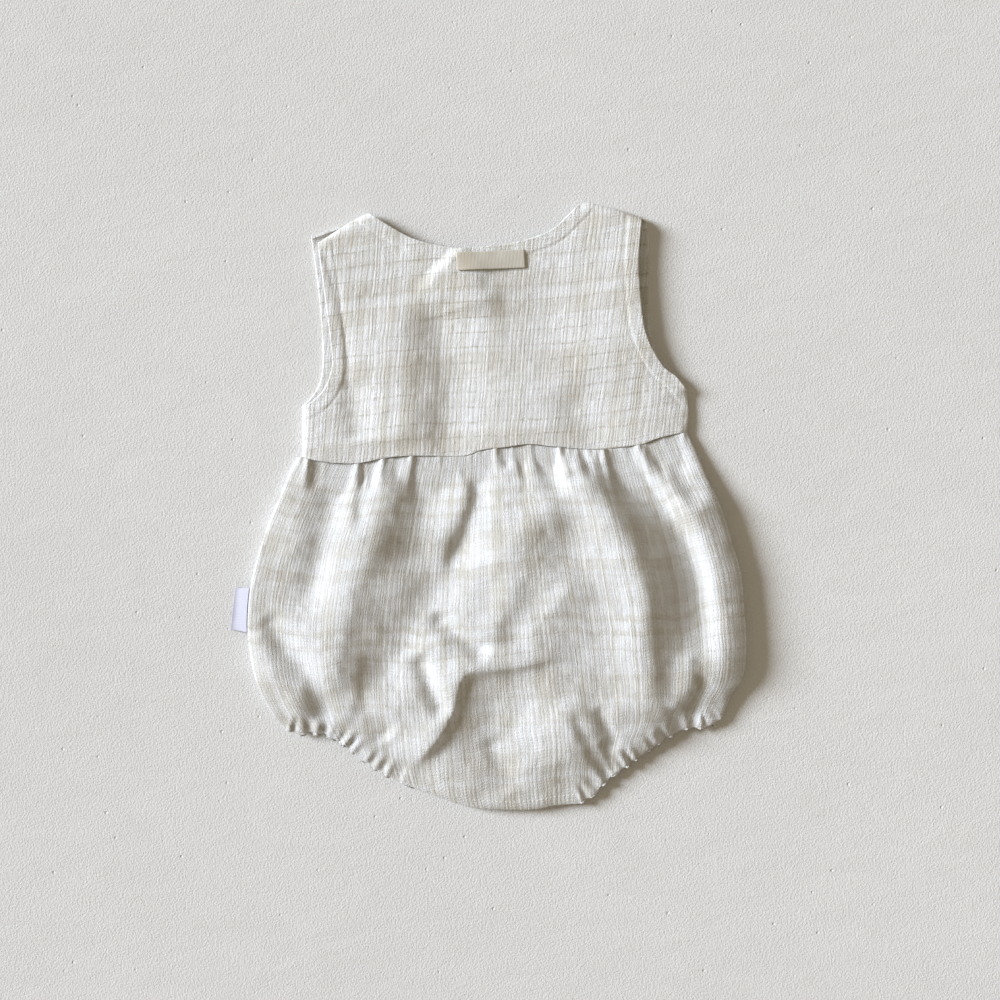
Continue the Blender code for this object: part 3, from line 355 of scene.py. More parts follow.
# Soft folds of the bodice's back
BODICE_FOLDS = (
    Fold("left crest", 2.6, 25, 14, 0.25, 0.1, ((-58, 137), (-56.5, 100), (-54, 60), (-51.5, 35))),
    Fold("left trough", -3.3, 12, 22, 0.2, 0,
         ((-33, 139), (-29, 110), (-24.5, 81.5), (-24, 59), (-25, 36.5))),
    Fold("label crest", 3.8, 25, 14, 0.15, 0.3, ((-27.5, 163.5), (-11, 147), (-3, 132.5), (-0.5, 118.5))),
    Fold("right armhole lift", 2.2, 34, 9, 0, 0.3,
         ((98.5, 186), (95, 160.5), (96.5, 130), (102, 108.5), (117.5, 86.5))),
    Fold("waist dip", -3, 14, 18, 0.4, 0, ((44.5, 78.5), (58, 62), (65, 46.5), (70, 32.5))),
    Fold("middle dip", -1.8, 26, 16, 0.3, 0.5, ((34, 150), (40, 125), (48, 95), (50, 66))),
    Fold("underarm dip", -2, 7, 14, 0.2, 0.1, ((-88, 84), (-85.5, 65), (-83.5, 41.5))),
    Fold("left hem dip", -0.7, 2.5, 4, 0.1, 0.1,
         ((-106, 168), (-99, 145), (-93, 119), (-89.5, 92), (-90, 72.5))),
    Fold("right seam fall", -2.4, 15, 6, 0.2, 0, ((130.5, 76), (131, 55.5), (131.5, 36.5))),
)

# Labels
NECK_LABEL_MIDDLE = (2.4, 158.2)
NECK_LABEL_SIZE = (43.0, 11.0)
NECK_LABEL_TURN = math.radians(3.0)
NECK_LABEL_BOW = 0.8  # how far the ribbon stands off between its sewn ends
NECK_LABEL_GAP = 0.45  # how far its ends lie off the bodice
CARE_TOP = -52.5  # where the care label enters the side seam, in Y
CARE_BOTTOM = -80.5
CARE_OUTER_TOP = (-162.6, -53.4)
CARE_OUTER_BOTTOM = (-165.6, -79.4)
CARE_TIP = 1.2  # height of the care label's free edge
CARE_DROOP = 1.6  # power by which the label droops from the seam to that edge
CARE_BOW = 0.5  # how far the middle of the free edge stands up

# Finer creases of the puffed back, which the solid's wall is too coarse for. Same columns as the folds.
CREASES = (
    Fold("waist tuck 1", -2.6, 1.3, 1.3, 0, 0.6, ((-99, 29), (-100.5, 22), (-103, 13))),
    Fold("waist tuck 2", -2.2, 1.2, 1.2, 0, 0.6, ((-93, 28), (-93.5, 22), (-95, 15))),
    Fold("waist tuck 3", -2.4, 1.5, 1.5, 0, 0.6, ((-79, 29), (-79.5, 19), (-81, 8))),
    Fold("waist tuck 4", -2.0, 1.3, 1.3, 0, 0.6, ((-36, 33), (-36.5, 26), (-38, 17))),
    Fold("waist tuck 5", -2.4, 1.3, 1.3, 0, 0.6, ((-16, 33), (-15, 26), (-14, 17))),
    Fold("waist tuck 6", -2.2, 1.2, 1.2, 0, 0.6, ((-9, 34), (-8.5, 28), (-8, 20))),
    Fold("waist tuck 7", -2.4, 1.3, 1.3, 0, 0.6, ((11.5, 38), (12, 31), (13, 23))),
    Fold("waist tuck 8", -2.8, 1.4, 1.4, 0, 0.5, ((91.5, 38), (93, 30), (96, 20))),
)

# Soft creases of the bodice's back. Same columns as the folds.
BODICE_CREASES = (
    Fold("label shade", -0.8, 9, 9, 0.3, 0.3, ((-8, 148), (8, 138), (22, 130))),
)


def smooth(t):
    """Smooth step from 0 to 1."""
    t = np.clip(t, 0.0, 1.0)
    return t * t * (3.0 - 2.0 * t)


def grown(start, t):
    """Smooth growth from a starting share to 1."""
    return start + (1.0 - start) * smooth(t)


def rounded(t):
    """Quarter of a circle, from 0 with an upright tangent to 1 with a level one."""
    t = np.clip(t, 0.0, 1.0)
    return np.sqrt(1.0 - (1.0 - t) ** 2)


def curve(points, shares):
    """Points at the given shares of the length of a smooth curve through the given points."""
    points = np.asarray(points, float)
    at = np.concatenate([[0.0], np.cumsum(np.linalg.norm(np.diff(points, axis=0), axis=1))])
    slope = np.empty_like(points)
    slope[1:-1] = (points[2:] - points[:-2]) / (at[2:] - at[:-2])[:, None]
    slope[0] = (points[1] - points[0]) / (at[1] - at[0])
    slope[-1] = (points[-1] - points[-2]) / (at[-1] - at[-2])
    where = np.asarray(shares, float) * at[-1]
    k = np.clip(np.searchsorted(at, where, side="right") - 1, 0, len(points) - 2)
    span = (at[k + 1] - at[k])[:, None]
    u = (where - at[k])[:, None] / span
    start = (2 * u**3 - 3 * u**2 + 1) * points[k] + (u**3 - 2 * u**2 + u) * span * slope[k]
    end = (3 * u**2 - 2 * u**3) * points[k + 1] + (u**3 - u**2) * span * slope[k + 1]
    return start + end


def evenly(points, count=60):
    return curve(points, np.linspace(0.0, 1.0, count))


def nearest(points, x, y):
    """Distance of each x, y to a chain of points, its side (positive on the left) and its share along it."""
    best = np.full(np.shape(x), np.inf)
    side = np.zeros(np.shape(x))
    share = np.zeros(np.shape(x))
    steps = np.diff(points, axis=0)
    for i, (start, step) in enumerate(zip(points[:-1], steps)):
        dx = x - start[0]
        dy = y - start[1]
        t = np.clip((dx * step[0] + dy * step[1]) / (step @ step), 0.0, 1.0)
        distance = np.hypot(dx - t * step[0], dy - t * step[1])
        closer = distance < best
        best = np.where(closer, distance, best)
        side = np.where(closer, step[0] * dy - step[1] * dx, side)
        share = np.where(closer, (i + t) / len(steps), share)
    return best, side, share


def distance_to(x, y, *lines):
    return np.min([nearest(evenly(line), x, y)[0] for line in lines], axis=0)


def fold_height(fold, x, y):
    """A bell across the fold's line, with its own width on each side, that fades at both ends.

    It is worked out within three widths of the line, beyond which the bell is level with the cloth.
    """
    points = evenly(fold.line, 24)
    reach = 3.0 * max(fold.left_width, fold.right_width)
    low = points.min(axis=0) - reach
    high = points.max(axis=0) + reach
    near = (x > low[0]) & (x < high[0]) & (y > low[1]) & (y < high[1])
    distance, side, share = nearest(points, x[near], y[near])
    width = np.where(side > 0, fold.right_width, fold.left_width)
    fade = np.ones_like(share)
    if fold.fade_in:
        fade = fade * smooth(share / fold.fade_in)
    if fold.fade_out:
        fade = fade * smooth((1.0 - share) / fold.fade_out)
    height = np.zeros(np.shape(x))
    height[near] = fold.height * fade * np.exp(-((distance / width) ** 2))
    return height


def swell_height(swell, x, y):
    across = (x - swell.x) / swell.x_radius
    along = (y - swell.y) / swell.y_radius
    return swell.height * np.exp(-(across**2) - along**2)


def waist_y(x):
    line = evenly(WAIST_LINE, 200)
    return np.interp(x, line[:, 0], line[:, 1])


def waist_edge(left_x, across, shift):
    """The waist seam from left_x to its right end, moved along Y, with the bodice's stations in between."""
    x = BODICE_LEFT_SEAM[-1][0] + across * (WAIST_LINE[-1][0] - BODICE_LEFT_SEAM[-1][0])
    x[0] = left_x
    return np.stack([x, waist_y(x) + shift], axis=1)


def lean_back(normals, way):
    """Leans the rim at the waist seam back under its own cloth. way is +1 where the seam lies towards +Y."""
    normals[:, 1] = 0.0
    normals /= np.linalg.norm(normals, axis=1, keepdims=True)
    normals[:, 1] = way * EDGE_LEAN


def gather_height(gather, x, y):
    """A waist gather: a fold that starts above the seam, leans and fades out along its length."""
    top = waist_y(gather.x)
    line = (
        (gather.x + GATHER_START * gather.lean, top + GATHER_ABOVE),
        (gather.x + GATHER_MIDDLE * gather.lean, top - GATHER_MIDDLE * gather.length),
        (gather.x + gather.lean, top - gather.length),
    )
    return fold_height(Fold("gather", gather.height, GATHER_WIDTH, GATHER_WIDTH, 0, GATHER_FADE, line), x, y)


def elastic_wave(line, x, y):
    """Uneven gathers along a leg elastic, from -1 to 1, that die out into the leg, as in the solids."""
    points = evenly(line)
    length = np.linalg.norm(np.diff(points, axis=0), axis=1).sum()
    distance, _, share = nearest(points, x, y)
    along = share * length
    phase = 2 * math.pi * along / ELASTIC_PITCH + ELASTIC_DRIFT * np.sin(DRIFT_RATE * along + DRIFT_START)
    return np.sin(phase) * (1.0 - smooth(distance / ELASTIC_REACH))


def rumple(x, y, pitch, seed):
    """Soft noise from about -1 to 1: random heights on a square lattice of that pitch, smoothly blended."""
    heights = np.random.default_rng(seed).uniform(-1.0, 1.0, (64, 64))
    column = x / pitch
    row = y / pitch
    i = np.floor(column).astype(int)
    j = np.floor(row).astype(int)
    u = smooth(column - i)
    v = smooth(row - j)
    low = heights[j % 64, i % 64] * (1 - u) + heights[j % 64, (i + 1) % 64] * u
    high = heights[(j + 1) % 64, i % 64] * (1 - u) + heights[(j + 1) % 64, (i + 1) % 64] * u
    return low * (1 - v) + high * v


def varied(at, fixed, change, pitch, seed):
    """A value that varies along a line: its fixed part, and soft noise times the part that changes."""
    return fixed + change * rumple(at, 0 * at, pitch, seed)


def rumples(rows, x, y):
    """Several rumples on each other. A slant draws one out from the upper left to the lower right."""
    return sum(row.height * rumple(x + row.slant * y, y, row.pitch, row.seed) for row in rows)


def waist_ruffle(x, from_waist):
    """Small uneven gathers all along the waist seam: a wave of changing pitch that dies out below it."""
    phase = 2 * math.pi * x / RUFFLE_PITCH + varied(x, *RUFFLE_DRIFT)
    return np.sin(phase) * (1.0 - smooth(from_waist / (RUFFLE_REACH * varied(x, *RUFFLE_REACHES))))


def leg_ruffle(line, x, y):
    """Gathers on a leg elastic: a wave along the edge, uneven in pitch and height, that dies out inwards."""
    points = evenly(line)
    length = np.linalg.norm(np.diff(points, axis=0), axis=1).sum()
    distance, _, share = nearest(points, x, y)
    along = share * length
    wave = np.sin(2 * math.pi * along / LEG_RUFFLE_PITCH + varied(along, *LEG_RUFFLE_DRIFT))
    return varied(along, *LEG_RUFFLE_HEIGHTS) * wave * (1.0 - smooth(distance / LEG_RUFFLE_REACH))


def bloomer_seam(x, y):
    """Height of the bloomers' seams: as the bodice's at the waist, full at the sides and low at the legs."""
    from_waist = distance_to(x, y, WAIST_LINE)
    from_legs = distance_to(x, y, LEFT_LEG, CROTCH, RIGHT_LEG)
    side = BODICE_SEAM + (SIDE_SEAM - BODICE_SEAM) * smooth(from_waist / SEAM_RISE)
    return LEG_SEAM + (side - LEG_SEAM) * grown(LEG_SEAM_SHARE, from_legs / LEG_RISE)


def bloomer_top(x, y):
    """Height of the puffed back's outer side: its puff and folds, with creases, ruffles and rumples."""
    from_side = distance_to(x, y, LEFT_SIDE, RIGHT_SIDE)
    from_leg = distance_to(x, y, LEFT_LEG, RIGHT_LEG)
    from_crotch = distance_to(x, y, CROTCH)
    from_waist = distance_to(x, y, WAIST_LINE)
    seam = bloomer_seam(x, y)
    puff = smooth((from_waist + WAIST_START) / WAIST_RISE)
    puff = puff * grown(LEG_PUFF, from_leg / LEG_RISE)
    puff = puff * grown(CROTCH_PUFF, from_crotch / CROTCH_RISE)
    folds = sum(fold_height(fold, x, y) for fold in FOLDS)
    folds = folds + sum(swell_height(swell, x, y) for swell in SWELLS)
    folds = folds * grown(WAIST_FOLDS, from_waist / WAIST_FOLD_REACH)
    folds = folds + sum(gather_height(gather, x, y) for gather in GATHERS)
    folds = folds + ELASTIC_DEPTH * (elastic_wave(LEFT_LEG, x, y) + elastic_wave(RIGHT_LEG, x, y))
    creases = sum(fold_height(crease, x, y) for crease in CREASES)
    creases = creases + RUFFLE_DEPTH * waist_ruffle(x, from_waist)
    creases = creases + LEG_RUFFLE_DEPTH * (leg_ruffle(LEFT_LEG, x, y) + leg_ruffle(RIGHT_LEG, x, y))
    creases = creases + rumples(BLOOMER_RUMPLES, x, y)
    crown = WAIST_TOP + PUFF * puff + folds + creases
    crown = LEAST_TOP + SINK_EASE * np.logaddexp(0.0, (crown - LEAST_TOP) / SINK_EASE)
    lift = crown - seam
    side_round = CORNER_ROUND + (SIDE_ROUND - CORNER_ROUND) * smooth(from_waist / SEAM_RISE)
    edge = np.minimum(rounded(from_side / side_round), rounded(from_leg / LEG_ROUND))
    edge = np.minimum(edge, rounded(from_crotch / CROTCH_ROUND))
    roll = SEAM_ROLL_DROP * (1.0 - rounded(from_waist / SEAM_ROLL))
    return seam + SEAM_GAP / 2 + lift * edge - roll


def bloomer_under(x, y):
    """Height of the bloomers' front, outer side: on the floor, and rounded up to the seams."""
    from_seam = distance_to(x, y, LEFT_SIDE, RIGHT_SIDE, LEFT_LEG, CROTCH, RIGHT_LEG)
    from_waist = distance_to(x, y, WAIST_LINE)
    tray_round = CORNER_ROUND + (TRAY_ROUND - CORNER_ROUND) * smooth(from_waist / SEAM_RISE)
    return (bloomer_seam(x, y) - SEAM_GAP / 2) * (1.0 - rounded(from_seam / tray_round))


def hem_step(distance):
    """A turned hem: proud by its fold from the edge to the stitching, a groove there, and level beyond it."""
    band = HEM_RISE * (1.0 - smooth((distance - HEM_WIDTH + HEM_EASE) / (2 * HEM_EASE)))
    groove = HEM_GROOVE * np.exp(-(((distance - HEM_WIDTH) / HEM_GROOVE_WIDTH) ** 2))
    return band - groove


def bodice_plain(x, y):
    """Height of the bodice's back without its hems, creases and rumples, as the solid has it."""
    from_seam = distance_to(x, y, BODICE_LEFT_SEAM, BODICE_RIGHT_SEAM, LEFT_SHOULDER, RIGHT_SHOULDER)
    folds = sum(fold_height(fold, x, y) for fold in BODICE_FOLDS)
    from_waist = distance_to(x, y, WAIST_LINE)
    lift = BODICE_TOP + folds * grown(BODICE_WAIST_FOLDS, from_waist / BODICE_FOLD_REACH) - BODICE_SEAM
    return BODICE_SEAM + SEAM_GAP / 2 + lift * rounded(from_seam / BODICE_ROUND)


def bodice_top(x, y):
    """Height of the bodice's back, outer side, with its turned hems, soft creases and rumples."""
    from_hem = distance_to(x, y, LEFT_ARMHOLE, RIGHT_ARMHOLE, NECKLINE)
    from_shoulder = distance_to(x, y, LEFT_SHOULDER, RIGHT_SHOULDER)
    from_waist = distance_to(x, y, WAIST_LINE)
    from_seam = distance_to(x, y, BODICE_LEFT_SEAM, BODICE_RIGHT_SEAM, LEFT_SHOULDER, RIGHT_SHOULDER)
    inside = rounded(from_seam / BODICE_ROUND)
    fine = hem_step(from_hem) * smooth(from_shoulder / 4.0)
    fine = fine + sum(fold_height(crease, x, y) for crease in BODICE_CREASES)
    fine = fine + rumples(BODICE_RUMPLES, x, y)
    roll = SEAM_ROLL_DROP * (1.0 - rounded(from_waist / SEAM_ROLL))
    return bodice_plain(x, y) + fine * inside - roll


def bodice_under(x, y):
    """Height of the bodice's front, outer side: on the floor, and rounded up to the seams."""
    seams = (BODICE_LEFT_SEAM, BODICE_RIGHT_SEAM, FRONT_LEFT_SHOULDER, FRONT_RIGHT_SHOULDER)
    from_seam = distance_to(x, y, *seams)
    return (BODICE_SEAM - SEAM_GAP / 2) * (1.0 - rounded(from_seam / BODICE_ROUND))


def shares(count, first, last, width, steps):
    """Shares from 0 to 1 in count steps, drawn together over a width at an end where first or last is set."""
    turn = 1.0 - np.cos(np.linspace(0.0, math.pi / 2, steps + 1))
    low = width * turn[:-1] if first else np.empty(0)
    high = 1.0 - width * turn[:-1][::-1] if last else np.empty(0)
    inner = count + 1 - len(low) - len(high)
    start = width if first else 0.0
    end = 1.0 - width if last else 1.0
    return np.concatenate([low, np.linspace(start, end, inner), high])


def joined(lines, cuts, at):
    """One edge made of several smooth curves that meet at corners. cuts are the shares where they meet."""
    stops = [0.0, *cuts, 1.0]
    found = np.zeros((len(at), 2))
    for line, start, stop in zip(lines, stops[:-1], stops[1:]):
        inside = (at >= start - 1e-9) & (at <= stop + 1e-9)
        found[inside] = curve(line, np.clip((at[inside] - start) / (stop - start), 0.0, 1.0))
    return found


def spread(top, bottom, left, right, across, down):
    """Grid of rows that fills four edges: the mean of both ways of ruling it, less the corners' own part."""
    u = across[None, :, None]
    v = down[:, None, None]
    ruled = (1 - v) * top[None] + v * bottom[None] + (1 - u) * left[:, None] + u * right[:, None]
    corners = (1 - v) * ((1 - u) * top[0] + u * top[-1]) + v * ((1 - u) * bottom[0] + u * bottom[-1])
    return ruled - corners


def grid_normals(grid):
    """Unit normals of a grid of points whose columns run along +X and whose rows run down along -Y."""
    across = np.gradient(grid, axis=1)
    down = np.gradient(grid, axis=0)
    normal = np.cross(down, across)
    return normal / np.linalg.norm(normal, axis=2, keepdims=True)


def edge_normals(line, outward_left):
    """Level normals along an edge: on the left of its way, or on the right."""
    way = np.gradient(line[:, :2], axis=0)
    sign = 1.0 if outward_left else -1.0
    level = np.stack([-way[:, 1] * sign, way[:, 0] * sign, np.zeros(len(line))], axis=1)
    return level / np.linalg.norm(level, axis=1, keepdims=True)


def keep_wall(outer, inner, sign):
    """Moves points of the inner grid away from the outer one where a crease would leave the wall too thin."""
    rows, columns = inner.shape[:2]
    for _ in range(KEEP_ROUNDS):
        halfway = np.repeat(inner[..., 2], 2, axis=0)[:-1]
        halfway[1::2] = (inner[:-1, :, 2] + inner[1:, :, 2]) / 2
        full = np.repeat(halfway, 2, axis=1)[:, :-1]
        full[:, 1::2] = (halfway[:, :-1] + halfway[:, 1:]) / 2
        lack = np.clip(LEAST_WALL - sign * (outer[..., 2] - full), 0.0, None)
        lack[:2] = 0.0
        lack[-2:] = 0.0
        lack[:, :2] = 0.0
        lack[:, -2:] = 0.0
        padded = np.pad(lack, 1)
        worst = np.zeros((rows, columns))
        for i in range(3):
            for j in range(3):
                worst = np.maximum(worst, padded[i : i + lack.shape[0], j : j + lack.shape[1]][::2, ::2])
        inner[..., 2] -= sign * KEEP_SHARE * worst
    return inner


def around(grid):
    """Values on the edge of a grid: down its left side, along the bottom, up the right side, and back."""
    return np.concatenate([grid[:-1, 0], grid[-1, :-1], grid[:0:-1, -1], grid[0, :0:-1]])


def make_piece(name, points, faces, spots, look):
    """A smooth-shaded object in the part's frame, from points in millimetres, faces and cloth coordinates."""
    mesh = bpy.data.meshes.new(name)
    mesh.from_pydata(((points - (MIDDLE_X, MIDDLE_Y, 0.0)) * MM).tolist(), [], faces)
    layer = mesh.uv_layers.new(name=CLOTH_UV)
    corners = np.empty(len(mesh.loops), dtype=np.int32)
    mesh.loops.foreach_get("vertex_index", corners)
    layer.data.foreach_set("uv", (spots[corners] * MM).astype(np.float32).ravel())
    mesh.materials.append(look)
    mesh.shade_smooth()
    mesh.update()
    piece = bpy.data.objects.new(name, mesh)
    bpy.context.scene.collection.objects.link(piece)
    return piece


def wall(name, outer, normals, thickness, spots, look, facing_up=True, bulge=None):
    """Closed cloth wall. Its outer grid is offset along the normals to an inner grid on every second point.

    Rows along half circles join the two edges. bulge, from 0 to 1, is how far these stand out at each point.
    """
    sign = 1.0 if facing_up else -1.0
    inner = keep_wall(outer, (outer - thickness * normals)[::2, ::2].copy(), sign)
    rows, columns = outer.shape[:2]
    inner_rows, inner_columns = inner.shape[:2]
    first = rows * columns
    outer_at = np.arange(first).reshape(rows, columns)
    inner_at = first + np.arange(inner_rows * inner_columns).reshape(inner_rows, inner_columns)
    edge = around(outer)
    far_edge = edge - thickness * around(normals)
    near_inner = around(inner)
    far_edge[::2] = near_inner
    far_edge[1::2] = (near_inner + np.roll(near_inner, -1, axis=0)) / 2
    way = np.roll(edge, -1, axis=0) - np.roll(edge, 1, axis=0)
    outward = np.stack([-way[:, 1], way[:, 0], np.zeros(len(way))], axis=1)
    outward /= -np.linalg.norm(outward, axis=1, keepdims=True)
    stand = around(bulge if bulge is not None else np.zeros((rows, columns)))[:, None] * thickness / 2
    turns = np.linspace(0.0, math.pi, RIM_STEPS + 2)[1:-1]
    rim = [edge + (far_edge - edge) * (1 - math.cos(a)) / 2 + outward * stand * math.sin(a) for a in turns]

    def quads(at, upward):
        a = at[:-1, :-1].ravel()
        b = at[1:, :-1].ravel()
        c = at[1:, 1:].ravel()
        d = at[:-1, 1:].ravel()
        return np.stack((a, b, c, d) if upward else (a, d, c, b), axis=1)

    rim_first = first + inner_rows * inner_columns
    count = len(edge)
    rings = [around(outer_at)] + [rim_first + k * count + np.arange(count) for k in range(RIM_STEPS)]
    bands = []
    for high, low in zip(rings[:-1], rings[1:]):
        band = np.stack([high, low, np.roll(low, -1), np.roll(high, -1)], axis=1)
        bands.append(band if facing_up else band[:, ::-1])
    inside = around(inner_at)
    inside_next = np.roll(inside, -1)
    last = rings[-1]
    start = last[::2]
    middle = last[1::2]
    end = np.roll(start, -1)
    corners = np.concatenate(
        [
            np.stack([start, inside, middle], axis=1),
            np.stack([inside, inside_next, middle], axis=1),
            np.stack([middle, inside_next, end], axis=1),
        ]
    )
    corners = corners if facing_up else corners[:, ::-1]
    faces = np.concatenate([quads(outer_at, facing_up), quads(inner_at, not facing_up), *bands]).tolist()
    faces += corners.tolist()
    points = np.concatenate([outer.reshape(-1, 3), inner.reshape(-1, 3), *rim])
    spot_edge = around(spots)
    spots = np.concatenate([spots.reshape(-1, 2), spots[::2, ::2].reshape(-1, 2), *[spot_edge] * RIM_STEPS])
    return make_piece(name, points, faces, spots, look)


def leg_edge(at):
    """The bloomers' lower edge: left leg, crotch and right leg, with the elastics' small scallops."""
    edge = joined((LEFT_LEG, CROTCH, RIGHT_LEG), LEG_CUTS, at)
    x = edge[:, 0]
    y = edge[:, 1]
    wave = SCALLOP * (elastic_wave(LEFT_LEG, x, y) + elastic_wave(RIGHT_LEG, x, y))
    wave = wave + LEG_SCALLOP * (leg_ruffle(LEFT_LEG, x, y) + leg_ruffle(RIGHT_LEG, x, y))
    ends = smooth(at / SCALLOP_ENDS) * smooth((1.0 - at) / SCALLOP_ENDS)
    edge[:, 1] -= wave * ends
    return edge


def down_the_cloth(points):
    """Length of cloth from the first row, down each column, in three dimensions."""
    steps = np.linalg.norm(np.diff(points, axis=0), axis=2)
    return np.concatenate([np.zeros((1, points.shape[1])), np.cumsum(steps, axis=0)])


def bloomer(name, size, height, look, facing_up):
    """Back or front of the bloomers: a surface between four edges, raised by its height function."""
    across = shares(size[0], True, True, END_SHARE, size[0] // 12)
    down = shares(size[1], False, True, ROW_SHARE, size[1] // 9)
    down = down**ROW_SPREAD if facing_up else down
    top = waist_edge(WAIST_LINE[0][0], across, -WAIST_GAP / 2)
    left = curve(LEFT_SIDE, down)
    right = curve(RIGHT_SIDE, down)
    left[0] = top[0]
    right[0] = top[-1]
    bottom = leg_edge(across)
    flat = spread(top, bottom, left, right, across, down)
    outer = np.dstack([flat, height(flat[..., 0], flat[..., 1])])
    normals = grid_normals(outer) if facing_up else -grid_normals(outer)
    lean_back(normals[0], 1.0)
    normals[-1] = edge_normals(outer[-1], False)
    normals[:, 0] = edge_normals(outer[:, 0], False)
    normals[:, -1] = edge_normals(outer[:, -1], True)
    spots = np.dstack([np.broadcast_to(across * BLOOMER_CUT[0], flat.shape[:2]), -down_the_cloth(outer)])
    return wall(name, outer, normals, WALL, spots, look, facing_up)


def grain(x, y):
    """Cloth coordinates of the bodice: ribs that lean a little and cross threads that rise to the right."""
    lean = np.interp(x, [row.x for row in GRAIN], [row.lean for row in GRAIN])
    rise_x = np.linspace(*GRAIN_SPAN)
    rise = np.interp(rise_x, [row.x for row in GRAIN], [row.rise for row in GRAIN])
    rise = np.cumsum(rise) * (rise_x[1] - rise_x[0])
    return np.dstack([x + lean * (y - GRAIN_MIDDLE), y - np.interp(x, rise_x, rise)])


def bodice(name, size, outline, height, look, facing_up):
    """Back or front of the bodice: a surface between edges with corners, raised by its height function."""
    left_shoulder, neck, right_shoulder, left_armhole, right_armhole = outline
    across = shares(size[0], True, True, END_SHARE, size[0] // 12)
    down = shares(size[1], True, False, ROW_SHARE, size[1] // 9)
    top = joined((left_shoulder, neck, right_shoulder), NECK_CUTS, across)
    left = joined((left_armhole[::-1], BODICE_LEFT_SEAM), (ARMHOLE_CUT,), down)
    right = joined((right_armhole[::-1], BODICE_RIGHT_SEAM), (ARMHOLE_CUT,), down)
    bottom = waist_edge(left[-1, 0], across, WAIST_GAP / 2)
    left[-1] = bottom[0]
    right[-1] = bottom[-1]
    flat = spread(top, bottom, left, right, across, down)
    outer = np.dstack([flat, height(flat[..., 0], flat[..., 1])])
    normals = grid_normals(outer) if facing_up else -grid_normals(outer)
    lean_back(normals[-1], -1.0)
    seam = down > ARMHOLE_CUT
    normals[seam, 0] = edge_normals(outer[:, 0], False)[seam]
    normals[seam, -1] = edge_normals(outer[:, -1], True)[seam]
    shoulder = (across < NECK_CUTS[0]) | (across > NECK_CUTS[1])
    normals[0, shoulder] = edge_normals(outer[0], True)[shoulder]
    bulge = np.zeros(flat.shape[:2])
    bulge[~seam, 0] = 1.0
    bulge[~seam, -1] = 1.0
    bulge[0, ~shoulder] = 1.0
    return wall(name, outer, normals, WALL, grain(flat[..., 0], flat[..., 1]), look, facing_up, bulge)


def stitches(name, points, look, pitch, length, width, raised):
    """A row of stitches: on a path, beads of thread at even steps, each a spindle along the path.

    A bead's rings have radii that follow half a sine wave along its length, and its ends sink to the cloth.
    """
    steps = np.linalg.norm(np.diff(points, axis=0), axis=1)
    at = np.concatenate([[0.0], np.cumsum(steps)])
    middles = np.arange(pitch / 2, at[-1], pitch)
    place = np.stack([np.interp(middles, at, points[:, k]) for k in range(3)], axis=1)
    ahead = np.stack([np.interp(middles + 0.5, at, points[:, k]) for k in range(3)], axis=1)
    behind = np.stack([np.interp(middles - 0.5, at, points[:, k]) for k in range(3)], axis=1)
    way = ahead - behind
    way /= np.linalg.norm(way, axis=1, keepdims=True)
    side = np.cross(way, (0.0, 0.0, 1.0))
    side /= np.linalg.norm(side, axis=1, keepdims=True)
    up = np.cross(side, way)
    t = np.linspace(-0.5, 0.5, STITCH_RINGS)
    turn = np.linspace(0.0, 2 * math.pi, STITCH_SIDES + 1)[:-1]
    radius = width / 2 * np.sqrt(np.clip(np.cos(math.pi * t * 0.96), 0.0, 1.0))
    sink = raised * np.cos(math.pi * t) - width / 4
    shape = place[:, None, None] + way[:, None, None] * (t * length)[None, :, None, None]
    shape = shape + side[:, None, None] * (radius[:, None] * np.cos(turn))[None, :, :, None]
    shape = shape + up[:, None, None] * (radius[:, None] * np.sin(turn) + sink[:, None])[None, :, :, None]
    beads = len(middles)
    ids = np.arange(beads * STITCH_RINGS * STITCH_SIDES).reshape(beads, STITCH_RINGS, STITCH_SIDES)
    near = ids[:, :-1]
    far = ids[:, 1:]
    band = np.stack([near, np.roll(near, -1, axis=2), np.roll(far, -1, axis=2), far], axis=-1).reshape(-1, 4)
    faces = band.tolist() + ids[:, 0, ::-1].tolist() + ids[:, -1].tolist()
    points = shape.reshape(-1, 3)
    return make_piece(name, points, faces, points[:, :2], look)


def sunk_line(line, start, stop, inward, height, count=400):
    """A path at a set distance inside an edge line, on the height that the cloth has there."""
    path = curve(line, np.linspace(start, stop, count))
    way = np.gradient(path, axis=0)
    way /= np.linalg.norm(way, axis=1, keepdims=True)
    path = path + inward * np.stack([-way[:, 1], way[:, 0]], axis=1)
    return np.column_stack([path, height(path[:, 0], path[:, 1])])


def neck_label(look):
    """Ribbon along the bodice's own surface: a flat strip, bowed as half a wave between its sewn ends."""
    s, t = np.meshgrid(np.linspace(-0.5, 0.5, NECK_LABEL_GRID[0]), np.linspace(0.5, -0.5, NECK_LABEL_GRID[1]))
    along = s * NECK_LABEL_SIZE[0]
    up = t * NECK_LABEL_SIZE[1]
    x = NECK_LABEL_MIDDLE[0] + along * math.cos(NECK_LABEL_TURN) - up * math.sin(NECK_LABEL_TURN)
    y = NECK_LABEL_MIDDLE[1] + along * math.sin(NECK_LABEL_TURN) + up * math.cos(NECK_LABEL_TURN)
    bow = NECK_LABEL_BOW * np.cos(math.pi * s) + rumples([NECK_LABEL_RUMPLE], x, y)
    outer = np.dstack([x, y, bodice_plain(x, y) + NECK_LABEL_GAP + RIBBON + bow])
    normals = np.tile((0.0, 0.0, 1.0), (*outer.shape[:2], 1))
    return wall("neck_ribbon", outer, normals, RIBBON, np.dstack([along, up]), look, True, np.ones(s.shape))


